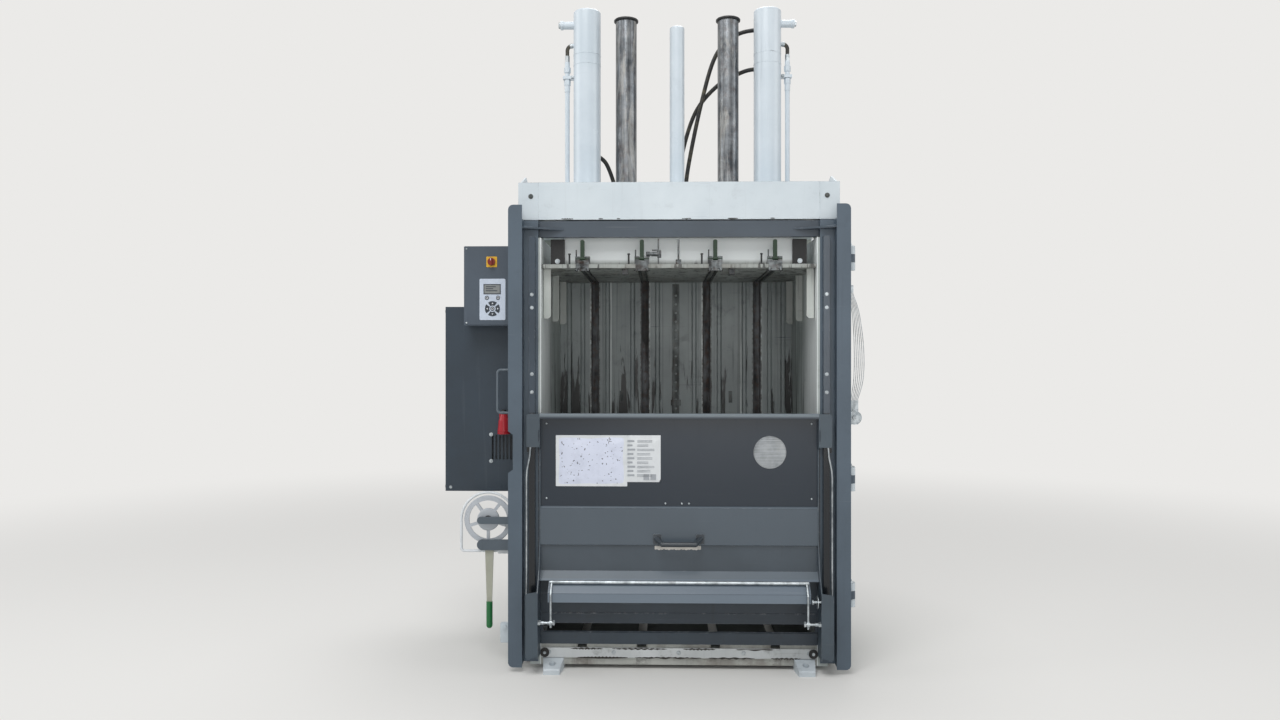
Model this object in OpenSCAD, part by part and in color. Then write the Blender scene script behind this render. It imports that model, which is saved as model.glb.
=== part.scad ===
// Vertical recycling baler. X runs across the front, Y runs back from the front door,
// Z is up from the floor. The origin lies on the floor under the middle of the chamber.

/* [Chamber] */
// Clear width of the press chamber
chamber_w = 1200; // [1140:10:1300]
// Clear depth of the press chamber
chamber_d = 780; // [740:10:840]
// Thickness of the chamber's side plates
wall_t = 8; // [6:1:10]
// Height of the chamber floor above the ground
floor_z = 113; // [110:1:125]
// Height of the crosshead's underside
beam_z = 1961; // [1950:1:2050]
// Width of a column across the machine
col_w = 82; // [70:1:95]
// Depth of a column
col_d = 70; // [60:1:80]
// Wall of the square tubes
tube_t = 5; // [3:0.5:8]
// Distance of the front columns behind the chamber's front edge
col_set = 72; // [70:1:90]
// Distance from the middle to the outer pair of strap slots
strap_outer = 420; // [405:5:440]
// Distance from the middle to the inner pair of strap slots
strap_inner = 160; // [150:5:170]
// Width of a strap slot
slot_w = 40; // [32:1:46]

/* [Crosshead and hydraulics] */
// Height of the crosshead beams
beam_h = 164; // [150:2:190]
// Thickness of the crosshead plates
beam_t = 8; // [6:1:10]
// Half width of the crosshead's front plate
beam_half = 703; // [700:1:708]
// Outer radius of a cylinder barrel
barrel_r = 65; // [60:1:70]
// Bore radius of a cylinder barrel
bore_r = 55; // [48:1:57]
// Radius of a piston rod
rod_r = 35; // [28:1:38]
// Distance of a cylinder's middle from the stiffening box's side
cyl_set = 75; // [65:1:85]
// Room left above a piston when the ram is up
head_room = 60; // [40:5:110]
// Distance from the middle to a guide tube
tube_x = 243; // [235:1:250]
// Outer radius of a guide tube
tube_r = 50; // [44:1:54]
// Radial running clearance of rods and tubes
run_gap = 0.08; // [0.05:0.01:0.1]
// Travel of the press ram
ram_travel = 800; // [700:10:805]
// Radius of the sensor tube in the middle
sensor_r = 35; // [28:1:38]
// Radius of a hydraulic pipe
pipe_r = 11; // [8:0.5:12]

/* [Ram] */
// Gap between the stiffening box and the crosshead when the ram is up
box_gap = 21; // [16:1:28]
// Thickness of the platen's plate
platen_t = 17; // [12:1:20]
// Gap between platen and side walls
platen_gap = 2; // [2:0.5:4]
// Height of the stiffening box on the platen
box_h = 175; // [150:5:185]
// Width of a slide pad beside the stiffening box
pad_w = 60; // [50:1:70]
// Length of the guide skids that hang beside the bale
skid_h = 218; // [160:2:240]

/* [Door] */
// Width of a door post's front flange
post_w = 60; // [54:1:64]
// How far a post's flange stands in front of the door plate
post_proj = 54; // [50:1:60]
// Distance from the chamber wall to the inner edge of a post
post_set = 75; // [73:1:77]
// Height of the lower end of the posts
post_z0 = 22; // [15:1:30]
// How far the posts stand above the crosshead's underside
post_over = 54; // [44:1:69]
// Plate thickness of the door
door_t = 4; // [3:0.5:5]
// Gap between door and chamber
door_gap = 2; // [1:0.5:3]
// Opening left in the door above its fixed panel starts here
panel_z1 = 1085; // [1070:1:1090]
// Radius of the hinge knuckles
knuckle_r = 18; // [15:0.5:18]
// Radius of the hinge pins
pin_r = 8; // [6:0.5:10]

/* [Loading gate] */
// How far the closed gate's upper edge stands above the door's panel
gate_over = 29; // [20:1:35]
// Sheet thickness of the gate
gate_t = 3; // [2:0.5:3.5]
// Gap between gate and door plate
gate_gap = 3; // [2:0.5:3.5]
// How far the lip at the gate's foot stands out
lip_proj = 81; // [70:1:84]
// How far the side ears stand out
ear_proj = 106; // [102:1:112]
// Radius of the bow bar's arms
bow_r = 5; // [4:0.5:5.5]
// Radius of the bow bar's cross bar
bow_bar_r = 8; // [6:0.5:9]

/* [Left side] */
// Width of the control box
ctrl_w = 220; // [200:5:240]
// Height of the control box
ctrl_h = 357; // [330:1:380]
// Width of the power cabinet
cab_w = 381; // [340:1:400]
// Height of the power cabinet
cab_h = 852; // [800:2:870]
// Sheet thickness of cabinet and covers
sheet_t = 3; // [2:0.5:4]
// Radius of the lock wheel
wheel_r = 108; // [100:1:110]
// Radius of the round wire around the lock wheel
guard_r = 6; // [4:0.5:7]

/* [Hidden] */

// Chamber planes
half_w = chamber_w / 2;
wall_x = half_w + wall_t;
front_y = -chamber_d / 2;
back_y = chamber_d / 2;
col_x = wall_x + col_w;
col_front = front_y + col_set;
col_back = back_y - col_d;
wall_top = beam_z - 81;
foot_t = 18;
strap_xs = [-strap_outer, -strap_inner, strap_inner, strap_outer];
rib_z0 = 230;
rib_step = (wall_top - rib_z0 - 200) / 5;
rib_zs = [for (i = [0:5]) rib_z0 + rib_step * i];
rib_h = 60;
back_t = 4;
back_fold = 30;

// Crosshead and hydraulics
beam_top = beam_z + beam_h;
beam_front = front_y + 20;
beam_flange = 130;
pad_gap = 35;
box_half = half_w - pad_gap - pad_w;
cyl_x = box_half - cyl_set;
bridge_set = 143;
bridge_half = beam_half - bridge_set;
web_x = cyl_x - barrel_r - 20;
lug_x1 = beam_half - 4;
lug_x0 = lug_x1 - beam_t;
lug_hole_y = front_y + 200;
lug_hole_z = beam_top - 25;
lug_hole_r = 14;
gland_z = beam_z + 14;
bush_rim = 12;
cap_gap = 21;
tube_top = beam_top + bush_rim + ram_travel + cap_gap;
cap_t = 12;
pipe_x = cyl_x + barrel_r + 30;
gland_h = 35;
seat_rim = 18;
seat_h = 20;
piston_h = 60;
piston_rest = 60;
piston_z = gland_z + gland_h + ram_travel + piston_rest;
cyl_end = 20;
cyl_top = piston_z + piston_h + head_room + cyl_end;
port_z = cyl_top - 63;
port_step = 190;
port_low_z = beam_top + 220;
hose_r = 10;

// Ram
box_top = beam_z - box_gap;
plate_top = box_top - box_h;
platen_z = plate_top - platen_t;
platen_half = half_w - platen_gap;
platen_half_d = chamber_d / 2 - 10;
box_t = 6;
box_half_d = platen_half_d - 80;
lever_pivot_y = front_y + 18;
lever_pivot_z = plate_top + 24;
pad_t = 30;
pad_high = 115;

// Door
post_z1 = beam_z + post_over;
door_back = front_y - door_gap;
door_face = door_back - door_t;
post_front = door_face - post_proj;
post_in = half_w + post_set;
post_out = post_in + post_w;
flange_t = 6;
web_set = 22;
notch_d = 21;
flange_in = half_w + 12;
hinge_x = post_out + 25;
hinge_y = front_y + 65;
hinge_zs = [262, 770, beam_z - 221];
hinge_h = 105;
hinge_leaf_h = 35;
rail_z0 = beam_z - 76;
rail_z1 = beam_z - 6;
bar_x0 = half_w + 22;
bar_x1 = half_w + 48;
bar_d = 34;
sill_rail_z = floor_z - 1;
pull_z0 = panel_z1 + 31;
pull_z1 = pull_z0 + 187;

// Gate
gate_z1 = panel_z1 + gate_over;
gate_back = door_face - gate_gap;
gate_face = gate_back - gate_t;
shelf_h = 22;
shelf_y = gate_back - 41;
band_z0 = 545;
band_z1 = 704;
band_proj = 10;
slope_z1 = 430;
lip_z1 = 350;
lip_z0 = 311;
lip_y = gate_back - lip_proj;
ear_y = gate_back - ear_proj;
ear_z0 = 74;
ear_z1 = 354;
ear_w = 52;
side_t = 4;
shoe_z0 = gate_z1 - 144;
shoe_w = 57;
bow_y = lip_y - 12;
bow_z = 227;
bow_x = half_w - 54;
bow_end = 20;
stop_h = 22;
rest_gap = 0.3;
lip_set = 40;
stop_z = bow_z + 95;
bow_knee_z = lip_z1 - 5;
bow_run = 40;
bow_rise = 46;

// Left side
ctrl_x1 = -(col_x + 55);
ctrl_x0 = ctrl_x1 - ctrl_w;
ctrl_z0 = beam_z - 459;
ctrl_y = front_y + 123;
ctrl_d = 105;
knob_x = ctrl_x0 + 126;
knob_z = ctrl_z0 + ctrl_h - 71;
film_x0 = ctrl_x0 + 71;
film_z0 = ctrl_z0 + 24;
film_w = 117;
film_h = 186;
cab_x1 = -col_x;
cab_x0 = cab_x1 - cab_w;
cab_z0 = ctrl_z0 - 762;
cab_y0 = front_y + 230;
cab_y1 = back_y - 50;
wheel_x = -col_x - 164;
wheel_z = 628;
arm_y = front_y + 90;
arm_t = 8;
wheel_y = front_y + 120;
lever_x = wheel_x + 8;
lever_z = 519;
lever_y = arm_y + arm_t + 3;
lever_t = 6;

// Right side
strand_x = col_x + 105;
strand_y = front_y + 240;
hook_z0 = beam_z - 306;
hook_z1 = hook_z0 + 35;
clamp_z1 = hook_z0 - 494;
clamp_z0 = clamp_z1 - 111;
roller_z = clamp_z0 + 32;

fs = 48;

// A block between two corners
module block(x0, x1, y0, y1, z0, z1) {
  translate([x0, y0, z0]) cube([x1 - x0, y1 - y0, z1 - z0]);
}

// Round bars along each axis
module bar_x(r, x0, x1, y, z) {
  translate([x0, y, z]) rotate([0, 90, 0]) cylinder(h = x1 - x0, r = r, $fn = fs);
}
module bar_y(r, y0, y1, x, z) {
  translate([x, y0, z]) rotate([-90, 0, 0]) cylinder(h = y1 - y0, r = r, $fn = fs);
}
module bar_z(r, z0, z1, x, y) {
  translate([x, y, z0]) cylinder(h = z1 - z0, r = r, $fn = fs);
}

// A plate whose outline is drawn in Y and Z, thick along X
module side_plate(x0, x1, pts) {
  translate([x0, 0, 0]) rotate([90, 0, 90]) linear_extrude(x1 - x0) polygon(pts);
}

// A plate whose outline is drawn in X and Z, thick along Y
module face_plate(y0, y1, pts) {
  translate([0, y1, 0]) rotate([90, 0, 0]) linear_extrude(y1 - y0) polygon(pts);
}

// The same piece on both sides of the middle
module pair() {
  children();
  mirror([1, 0, 0]) children();
}

// Points of a quarter round at a plate's corner
function corner(cx, cy, r, a0) = [for (i = [0:6]) [cx + r * cos(a0 + 15 * i), cy + r * sin(a0 + 15 * i)]];

// Rectangle with one radius for each corner: lower left, lower right, upper right, upper left
function rounded(x0, x1, y0, y1, r) = concat(
  corner(x0 + r[0], y0 + r[0], r[0], 180), corner(x1 - r[1], y0 + r[1], r[1], 270),
  corner(x1 - r[2], y1 - r[2], r[2], 0), corner(x0 + r[3], y1 - r[3], r[3], 90));

// A square tube standing on end
module post_tube(x0, x1, y0, y1, z0, z1) {
  difference() {
    block(x0, x1, y0, y1, z0, z1);
    block(x0 + tube_t, x1 - tube_t, y0 + tube_t, y1 - tube_t, z0 - 1, z1 + 1);
  }
}

// Smooth route through hand-set points
function blend_pt(a, b, c, d, t) = 0.5 * ((2 * b) + (c - a) * t + (2 * a - 5 * b + 4 * c - d) * t * t
  + (3 * b - a - 3 * c + d) * t * t * t);
function smooth(p, n) = concat([for (i = [0:len(p) - 2], k = [0:n - 1])
  blend_pt(p[max(i - 1, 0)], p[i], p[i + 1], p[min(i + 2, len(p) - 1)], k / n)], [p[len(p) - 1]]);
function unit(v) = v / norm(v);
function heading(p, i) = unit(p[min(i + 1, len(p) - 1)] - p[max(i - 1, 0)]);

// A hose swept along a route, eight-sided
module swept(route, r, across = [0, 1, 0]) {
  n = len(route);
  sides = 8;
  pts = [for (i = [0:n - 1])
    let (d = heading(route, i), u = unit(cross(d, across)), v = cross(d, u))
    for (k = [0:sides - 1]) route[i] + r * (cos(45 * k) * u + sin(45 * k) * v)];
  skin = [for (i = [0:n - 2], k = [0:sides - 1])
    [i * sides + k, (i + 1) * sides + k, (i + 1) * sides + (k + 1) % sides, i * sides + (k + 1) % sides]];
  start = [for (k = [0:sides - 1]) k];
  end = [for (k = [sides - 1:-1:0]) (n - 1) * sides + k];
  polyhedron(concat(pts), concat(skin, [start, end]), convexity = 4);
}

// Chassis

// Welded floor frame with strap grooves across the floor plate and both end beams
end_beam = 60;
joist_x = 290;
joist_half = 20;
groove_deep = 20;
module base_frame() {
  beam_in = front_y + end_beam + door_gap;
  color("#c9cbc4") difference() {
    union() {
      block(-half_w, half_w, front_y + door_gap, beam_in, foot_t, floor_z);
      block(-half_w, half_w, back_y - end_beam, back_y, foot_t, floor_z);
      block(-half_w, half_w, beam_in, back_y - end_beam, floor_z - wall_t, floor_z);
      for (x = [joist_half - half_w, -joist_x, 0, joist_x, half_w - joist_half])
        block(x - joist_half, x + joist_half, beam_in, back_y - end_beam, foot_t, floor_z - wall_t);
    }
    for (x = strap_xs)
      block(x - slot_w / 2, x + slot_w / 2, front_y - 1, back_y + 1, floor_z - groove_deep, floor_z + 1);
  }
}

// Bare wear plate screwed to the front of the floor frame, with its fixing holes
sill_xs = [for (i = [-2:2]) i * (half_w - 35) / 2];
sill_z0 = 50;
sill_z1 = 93;
sill_z = 74;
sill_t = 6;
screw_r = 6;
screw_head = 3;
module front_sill() {
  color("#a8a5a2") difference() {
    block(-half_w + 2, half_w - 2, front_y - sill_t, front_y + door_gap, sill_z0, sill_z1);
    for (x = sill_xs) bar_y(screw_r, front_y - sill_t - 1, front_y + door_gap + 1, x, sill_z);
  }
}

// Countersunk sill screws
module frame_bolts() {
  color("#c9d2d6") for (x = sill_xs) {
    bar_y(screw_r, front_y - sill_t, front_y + door_gap, x, sill_z);
    translate([x, front_y - sill_t - screw_head, sill_z]) rotate([-90, 0, 0])
      cylinder(h = screw_head, r1 = screw_r + 1, r2 = screw_r + 3, $fn = 24);
  }
}

// Four plate feet with anchor holes, each with a ramp against the base
foot_x = half_w - 55;
foot_half = 45;
foot_nose = 35;
foot_toe = front_y - 86;
foot_heel = front_y + 60;
foot_top = 48;
foot_hole_y = -front_y + 45;
foot_hole_r = 7;
module foot() {
  difference() {
    intersection() {
      side_plate(foot_x - foot_half, foot_x + foot_half, [[foot_toe, 0], [foot_toe, foot_t],
        [foot_toe + 6, foot_t + 6], [front_y - 8, foot_top], [front_y - 0.5, foot_top],
        [front_y - 0.5, foot_t], [foot_heel, foot_t], [foot_heel, 0]]);
      translate([foot_x, 0, -1]) linear_extrude(foot_top + 2) polygon([[-foot_nose, foot_toe],
        [foot_nose, foot_toe], [foot_half, front_y - 6], [foot_half, foot_heel], [-foot_half, foot_heel],
        [-foot_half, front_y - 6]]);
    }
    bar_z(foot_hole_r, -1, foot_top + 1, foot_x, -foot_hole_y);
    bar_z(2 * foot_hole_r, foot_t, foot_top + 1, foot_x, -foot_hole_y);
  }
}
module feet() {
  color("#c3c6c2") {
    pair() foot();
    mirror([0, 1, 0]) pair() foot();
  }
}

// Side of the chamber with its front flange and pressed stiffening ribs
flange_w = 40;
rib_t = 6;
module side_wall() {
  difference() {
    union() {
      block(half_w, wall_x, front_y, back_y, foot_t, wall_top);
      block(wall_x, wall_x + flange_w, front_y, front_y + rib_t, foot_t, wall_top);
      for (z = rib_zs) block(wall_x, col_x, col_front + col_d, col_back, z - rib_h / 2, z + rib_h / 2);
    }
    for (z = rib_zs) block(wall_x, col_x - rib_t, col_front + col_d - 1, col_back + 1,
      z - rib_h / 2 + rib_t, z + rib_h / 2 - rib_t);
  }
}
module side_wall_left() { color("#b4b9b2") mirror([1, 0, 0]) side_wall(); }
module side_wall_right() { color("#b4b9b2") side_wall(); }

// Four square columns that carry the crosshead
module columns() {
  color("#b4b9b2") pair() {
    post_tube(wall_x, col_x, col_front, col_front + col_d, foot_t, beam_z);
    post_tube(wall_x, col_x, col_back, back_y, foot_t, beam_z);
  }
}

// Back wall of folded panels, open at the strap slots, tied by box ribs behind.
// Each panel has a pressed groove beside both of its edges.
panel_edges = [-half_w, -strap_outer, -strap_inner, strap_inner, strap_outer, half_w];
function slot_side(i) = i == 0 || i == 5 ? 0 : slot_w / 2;
groove_in = 45;
groove_half = 13;
groove_floor = 6;
groove_d = 8;
function groove(c, y) = [[c - groove_half, y], [c - groove_floor, y + groove_d],
  [c + groove_floor, y + groove_d], [c + groove_half, y]];
function panel_line(x0, x1, y) = concat([[x0, y]], groove(x0 + groove_in, y),
  groove(x1 - groove_in, y), [[x1, y]]);
function turned(p) = [for (i = [len(p) - 1:-1:0]) p[i]];
module back_panel(x0, x1) {
  translate([0, 0, floor_z]) linear_extrude(beam_z - floor_z)
    polygon(concat(panel_line(x0, x1, back_y), turned(panel_line(x0, x1, back_y + back_t))));
  for (x = [x0, x1 - back_t])
    block(x, x + back_t, back_y + back_t / 2, back_y + back_fold + 1, floor_z, beam_z);
}
module back_wall() {
  color("#a9b0aa") {
    for (i = [0:4]) back_panel(panel_edges[i] + slot_side(i), panel_edges[i + 1] - slot_side(i + 1));
    for (z = rib_zs)
      block(-half_w, half_w, back_y + back_fold, back_y + back_fold + 40, z - rib_h / 2, z + rib_h / 2);
  }
}

// Rusty steel channels behind the slots that guide the baling straps
module strap_guides() {
  color("#6b5446") for (x = strap_xs) translate([x, 0, 0]) {
    s = slot_w / 2;
    t = back_t;
    y0 = back_y + t + 1;
    y1 = back_y + back_fold - t;
    block(-s, -s + t, y0, y1, floor_z, beam_z);
    block(s - t, s, y0, y1, floor_z, beam_z);
    block(-s, s, y1, y1 + t, floor_z, beam_z);
  }
}

// Perforated strip, its bracket and two hooks on the back wall
strip_h = 720;
strip_z1 = wall_top - 140;
strip_z0 = strip_z1 - strip_h;
hook_x = (strap_inner + strap_outer) / 2 - 7;
module wall_fittings() {
  t = back_t;
  half = 18;
  holes = [strip_z0 + 30:45:strip_z1 - 20];
  clip_z = strip_z0 + 90;
  hook_z = strip_z0 + 105;
  color("#8c918c") difference() {
    block(-half, half, back_y - t, back_y, strip_z0, strip_z1);
    for (z = holes) bar_y(6, back_y - t - 1, back_y + 1, 0, z);
  }
  color("#26282a") {
    block(-half - 8, half + 8, back_y - 2 * t, back_y - t, clip_z, clip_z + 30);
    for (x = [-hook_x, hook_x]) {
      block(x - half / 2, x + half / 2, back_y - t, back_y, hook_z, hook_z + 60);
      block(x - 5, x + 5, back_y - 2 * t, back_y - t, hook_z + 5, hook_z + 25);
    }
  }
}

// Crosshead: two open channel beams joined by a bridge that carries the cylinders
module beam_channel() {
  y1 = beam_front + beam_t;
  y2 = beam_front + beam_flange;
  block(-beam_half, beam_half, beam_front, y1, beam_z, beam_top);
  block(-lug_x0, lug_x0, y1, y2, beam_z, beam_z + beam_t);
  block(-lug_x0, lug_x0, y1, y2, beam_top - beam_t, beam_top);
}
front_plate_set = 88;
bush_wall = 15;
module crosshead() {
  y2 = beam_front + beam_flange;
  face_half = beam_half - front_plate_set;
  color("#e2e8ec") difference() {
    union() {
      beam_channel();
      mirror([0, 1, 0]) beam_channel();
      block(-face_half, face_half, beam_front - 3, beam_front, beam_z, beam_top);
      block(-bridge_half, bridge_half, y2, -y2, beam_z, beam_z + beam_t);
      block(-bridge_half, bridge_half, y2, -y2, beam_top - beam_t, beam_top);
      for (s = [-1, 1], x = [web_x, bridge_half - beam_t / 2])
        block(s * x - beam_t / 2, s * x + beam_t / 2, beam_front + beam_t, -beam_front - beam_t,
          beam_z + beam_t, beam_top - beam_t);
    }
    for (s = [-1, 1]) {
      bar_z(barrel_r + 1, beam_z - 1, beam_top + 1, s * cyl_x, 0);
      bar_z(tube_r + bush_wall + 0.5, beam_z - 1, beam_top + 1, s * tube_x, 0);
    }
  }
}

// Lifting lugs with pointed tops, which also close the beam's ends
module lifting_lugs() {
  peak = beam_top + 53;
  base = beam_z + beam_t;
  y0 = beam_front + beam_t;
  color("#dfe5e9") pair() difference() {
    side_plate(lug_x0, lug_x1, [[y0, base], [y0, beam_top - 4], [lug_hole_y - 40, peak - 7],
      [lug_hole_y - 24, peak], [lug_hole_y - 8, peak - 3], [lug_hole_y + 130, beam_top - 2],
      [lug_hole_y + 130, base]]);
    bar_x(lug_hole_r, lug_x0 - 1, lug_x1 + 1, lug_hole_y, lug_hole_z);
  }
}

// A cylinder barrel: gland, seat flange, weld rings, rounded cap, port stub and clamp tab
ring_zs = [cyl_top - 259, cyl_top - 211];
cap_round = 10;
rod_bore = rod_r + run_gap;
barrel_profile = concat(
  [[rod_bore, gland_z], [barrel_r, gland_z], [barrel_r, beam_top], [barrel_r + seat_rim, beam_top],
   [barrel_r + seat_rim, beam_top + seat_h], [barrel_r, beam_top + seat_h]],
  [for (z = ring_zs) each [[barrel_r, z - 2], [barrel_r + 1, z - 1], [barrel_r + 1, z + 1],
    [barrel_r, z + 2]]],
  [for (a = [0:15:90]) [barrel_r - cap_round + cap_round * cos(a), cyl_top - cap_round + cap_round * sin(a)]],
  [[0, cyl_top], [0, cyl_top - cyl_end], [bore_r, cyl_top - cyl_end], [bore_r, gland_z + gland_h],
   [rod_bore, gland_z + gland_h]]);
tab_z0 = cyl_top - 322;
tab_z1 = cyl_top - 308;
elbow_z = cyl_top - 160;
module barrel() {
  rotate_extrude($fn = 64) polygon(barrel_profile);
  bar_x(18, barrel_r - 5, barrel_r + 50, 0, port_z);
  bar_x(21, barrel_r + 50, barrel_r + 62, 0, port_z);
  bar_x(9, barrel_r - 4, barrel_r + 6, 0, elbow_z);
  difference() {
    block(barrel_r - 4, barrel_r + 50, -16, 16, tab_z0, tab_z1);
    bar_z(pipe_r + 0.1, tab_z0 - 1, tab_z1 + 1, pipe_x - cyl_x, 0);
  }
}
// Rear bosses take the return hoses
boss_half = 15;
boss_out = 20;
hose_y = barrel_r + 9;
module boss(z) {
  block(-boss_half, boss_half, barrel_r - 6, barrel_r + boss_out, z - boss_half, z + boss_half);
}
module cylinders() {
  color("#e6ecf1") {
    translate([cyl_x, 0, 0]) {
      barrel();
      boss(port_z);
      boss(port_z - port_step);
    }
    translate([-cyl_x, 0, 0]) {
      mirror([1, 0, 0]) barrel();
      boss(port_low_z);
    }
  }
}

// Pipes with hexagon unions and hose sleeves, one beside each cylinder
pipe_top = cyl_top - 265;
union_h = 25;
module pipes() {
  color("#dfe5e8") pair() translate([pipe_x, 0, 0]) {
    translate([0, 0, beam_top]) cylinder(h = pipe_top - beam_top, r = pipe_r, $fn = 32);
    for (z = [beam_top + seat_h + 1, pipe_top - 85, pipe_top - union_h])
      translate([0, 0, z]) cylinder(h = union_h, r = pipe_r + 5, $fn = 6);
    translate([0, 0, pipe_top - 117]) cylinder(h = 32, r = pipe_r + 2, $fn = 32);
    translate([0, 0, pipe_top]) cylinder(h = union_h, r = pipe_r + 1, $fn = 32);
  }
}

// Pressure hoses arch from the barrels into the pipes; return hoses rise behind the tubes.
// Each return hose starts and ends in a straight piece, just clear of what it is screwed to.
hose_gap = 0.3;
hose_lead = 20;
port_x = cyl_x - boss_half - hose_gap;
return_a = [[40, 110, beam_top + hose_gap], [40, 110, beam_top + hose_lead], [58, 112, beam_top + 175],
  [120, 112, beam_top + 475], [cyl_x - 240, 100, port_z - 117], [cyl_x - 140, 84, port_z - 22],
  [port_x - hose_lead, hose_y, port_z], [port_x, hose_y, port_z]];
return_b = [[0, 150, beam_top + hose_gap], [0, 150, beam_top + hose_lead], [20, 150, beam_top + 205],
  [90, 146, beam_top + 435], [cyl_x - 230, 120, port_z - 257], [cyl_x - 110, 84, port_z - port_step - 12],
  [port_x - hose_lead, hose_y, port_z - port_step], [port_x, hose_y, port_z - port_step]];
return_c = [[-port_x, hose_y, port_low_z], [hose_lead - port_x, hose_y, port_low_z],
  [85 - cyl_x, 86, port_low_z - 40], [124 - cyl_x, 98, beam_top + 80],
  [130 - cyl_x, 100, beam_top + hose_lead], [130 - cyl_x, 100, beam_top + hose_gap]];
elbow_r = 9;
elbow_bend = 24;
module hoses() {
  color("#1d1e20") {
    pair() translate([cyl_x + barrel_r + 6, 0, elbow_z]) {
      translate([0, 0, -elbow_bend]) rotate([90, 0, 0]) rotate_extrude(angle = 90, $fn = 48)
        translate([elbow_bend, 0]) circle(r = elbow_r, $fn = 24);
      translate([elbow_bend, 0, pipe_top + union_h - elbow_z]) cylinder(h = 56, r = elbow_r, $fn = 24);
    }
    for (r = [return_a, return_b, return_c])
      swept(concat([r[0]], smooth([for (i = [1:len(r) - 2]) r[i]], 4), [r[len(r) - 1]]), hose_r);
  }
}

// Slim tube over the ram's position sensor
module sensor_tube() {
  h = cyl_top - 78 - beam_top;
  rim = 12;
  color("#e6ecf1") translate([0, 0, beam_top]) rotate_extrude($fn = 48)
    polygon([[0, 0], [sensor_r + rim, 0], [sensor_r + rim, rim - 2], [sensor_r, rim - 2],
      [sensor_r, h - 4], [sensor_r - 4, h], [0, h]]);
}

// Flanged bronze bushes that guide the two tubes
bush_flange = 28;
module guide_bushes() {
  inner = tube_r + run_gap;
  color("#8f8266") for (s = [-1, 1]) translate([s * tube_x, 0, 0]) rotate_extrude($fn = 64)
    polygon([[inner, beam_z - 8], [tube_r + bush_wall, beam_z - 8], [tube_r + bush_wall, beam_top],
      [tube_r + bush_flange, beam_top], [tube_r + bush_flange, beam_top + bush_rim],
      [inner, beam_top + bush_rim]]);
}

// Ram

// Platen with strap grooves below and a stiffening box on top
platen_groove = 8;
platen_rib_x = 340;
platen_rib_half = 5;
module platen() {
  x1 = box_half - box_t;
  y1 = box_half_d - box_t;
  color("#b9beb6") {
    difference() {
      block(-platen_half, platen_half, -platen_half_d, platen_half_d, platen_z, plate_top);
      for (x = strap_xs) block(x - slot_w / 2, x + slot_w / 2, -platen_half_d - 1, platen_half_d + 1,
        platen_z - 1, platen_z + platen_groove);
    }
    difference() {
      block(-box_half, box_half, -box_half_d, box_half_d, plate_top, box_top);
      block(-x1, x1, -y1, y1, plate_top - 1, box_top + 1);
    }
    for (x = [-platen_rib_x, 0, platen_rib_x])
      block(x - platen_rib_half, x + platen_rib_half, -y1, y1, plate_top, box_top - 30);
  }
}

// Black plastic pads at the platen's four corners
module slide_pads() {
  y = box_half_d + 16;
  color("#17181a") pair() for (t = [-1, 1])
    block(box_half, box_half + pad_w, t * y - pad_t / 2, t * y + pad_t / 2, plate_top, plate_top + pad_high);
}

// Six skids below the platen's sides, which keep it level between the walls
skid_y = 330;
skid_half = 6;
skid_w = 32;
module guide_skids() {
  x1 = half_w - 4;
  z0 = platen_z - skid_h;
  color("#c6c9c0") pair() for (y = [-skid_y, 0, skid_y])
    face_plate(y - skid_half, y + skid_half, [[x1 - skid_w, platen_z], [x1 - skid_w, z0 + 10],
      [x1 - skid_w + 10, z0], [x1, z0], [x1, platen_z]]);
}

// Piston rods with foot flanges below and pistons inside the barrels
rod_foot = 20;
module piston_rods() {
  color("#c4c8ca") for (s = [-1, 1]) translate([s * cyl_x, 0, 0]) {
    translate([0, 0, plate_top]) cylinder(h = rod_foot, r = rod_r + rod_foot, $fn = 48);
    translate([0, 0, plate_top]) cylinder(h = piston_z - plate_top, r = rod_r, $fn = 64);
    translate([0, 0, piston_z]) cylinder(h = piston_h, r = bore_r - run_gap, $fn = 64);
  }
}

// Guide tubes stand on the platen and pass through the crosshead
tube_wall = 6;
module guide_tubes() {
  color("#4a4d52") for (s = [-1, 1]) translate([s * tube_x, 0, plate_top]) difference() {
    cylinder(h = tube_top - plate_top, r = tube_r, $fn = 64);
    translate([0, 0, 10]) cylinder(h = tube_top - plate_top, r = tube_r - tube_wall, $fn = 48);
  }
}
module guide_caps() {
  r = tube_r + 8;
  ease = 3;
  color("#1c1d1f") for (s = [-1, 1]) translate([s * tube_x, 0, tube_top]) rotate_extrude($fn = 48)
    polygon([[0, 0], [r - ease, 0], [r, ease], [r, cap_t - ease], [r - ease, cap_t], [0, cap_t]]);
}

// Strap threading units on the platen's front edge, each with two needle rods below it
bracket_half = 32;
cheek_in = 12;
needle_r = 4;
pin_y = lever_pivot_y - 6;
module strap_bracket() {
  y0 = -platen_half_d;
  base_z = plate_top + 14;
  needle_z = platen_z + needle_r - 0.1;
  difference() {
    union() {
      block(-bracket_half, bracket_half, y0, y0 + 26, plate_top, base_z);
      block(-bracket_half, -cheek_in, y0, y0 + 24, base_z, base_z + 20);
      block(cheek_in, bracket_half, y0, y0 + 24, base_z, base_z + 20);
      block(4 - bracket_half, bracket_half - 4, y0 - 6, y0, platen_z - 12, base_z);
    }
    bar_x(3.1, -bracket_half - 8, bracket_half + 8, pin_y, lever_pivot_z);
  }
  for (x = [-cheek_in, cheek_in]) {
    bar_y(needle_r, y0, platen_half_d - 6, x, needle_z);
    bar_y(needle_r + 3, y0 - 10, y0 - 6, x, needle_z);
  }
  bar_z(3, base_z, base_z + 50, 4 - bracket_half, y0 + 12);
}
trip_x = -88;
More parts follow.
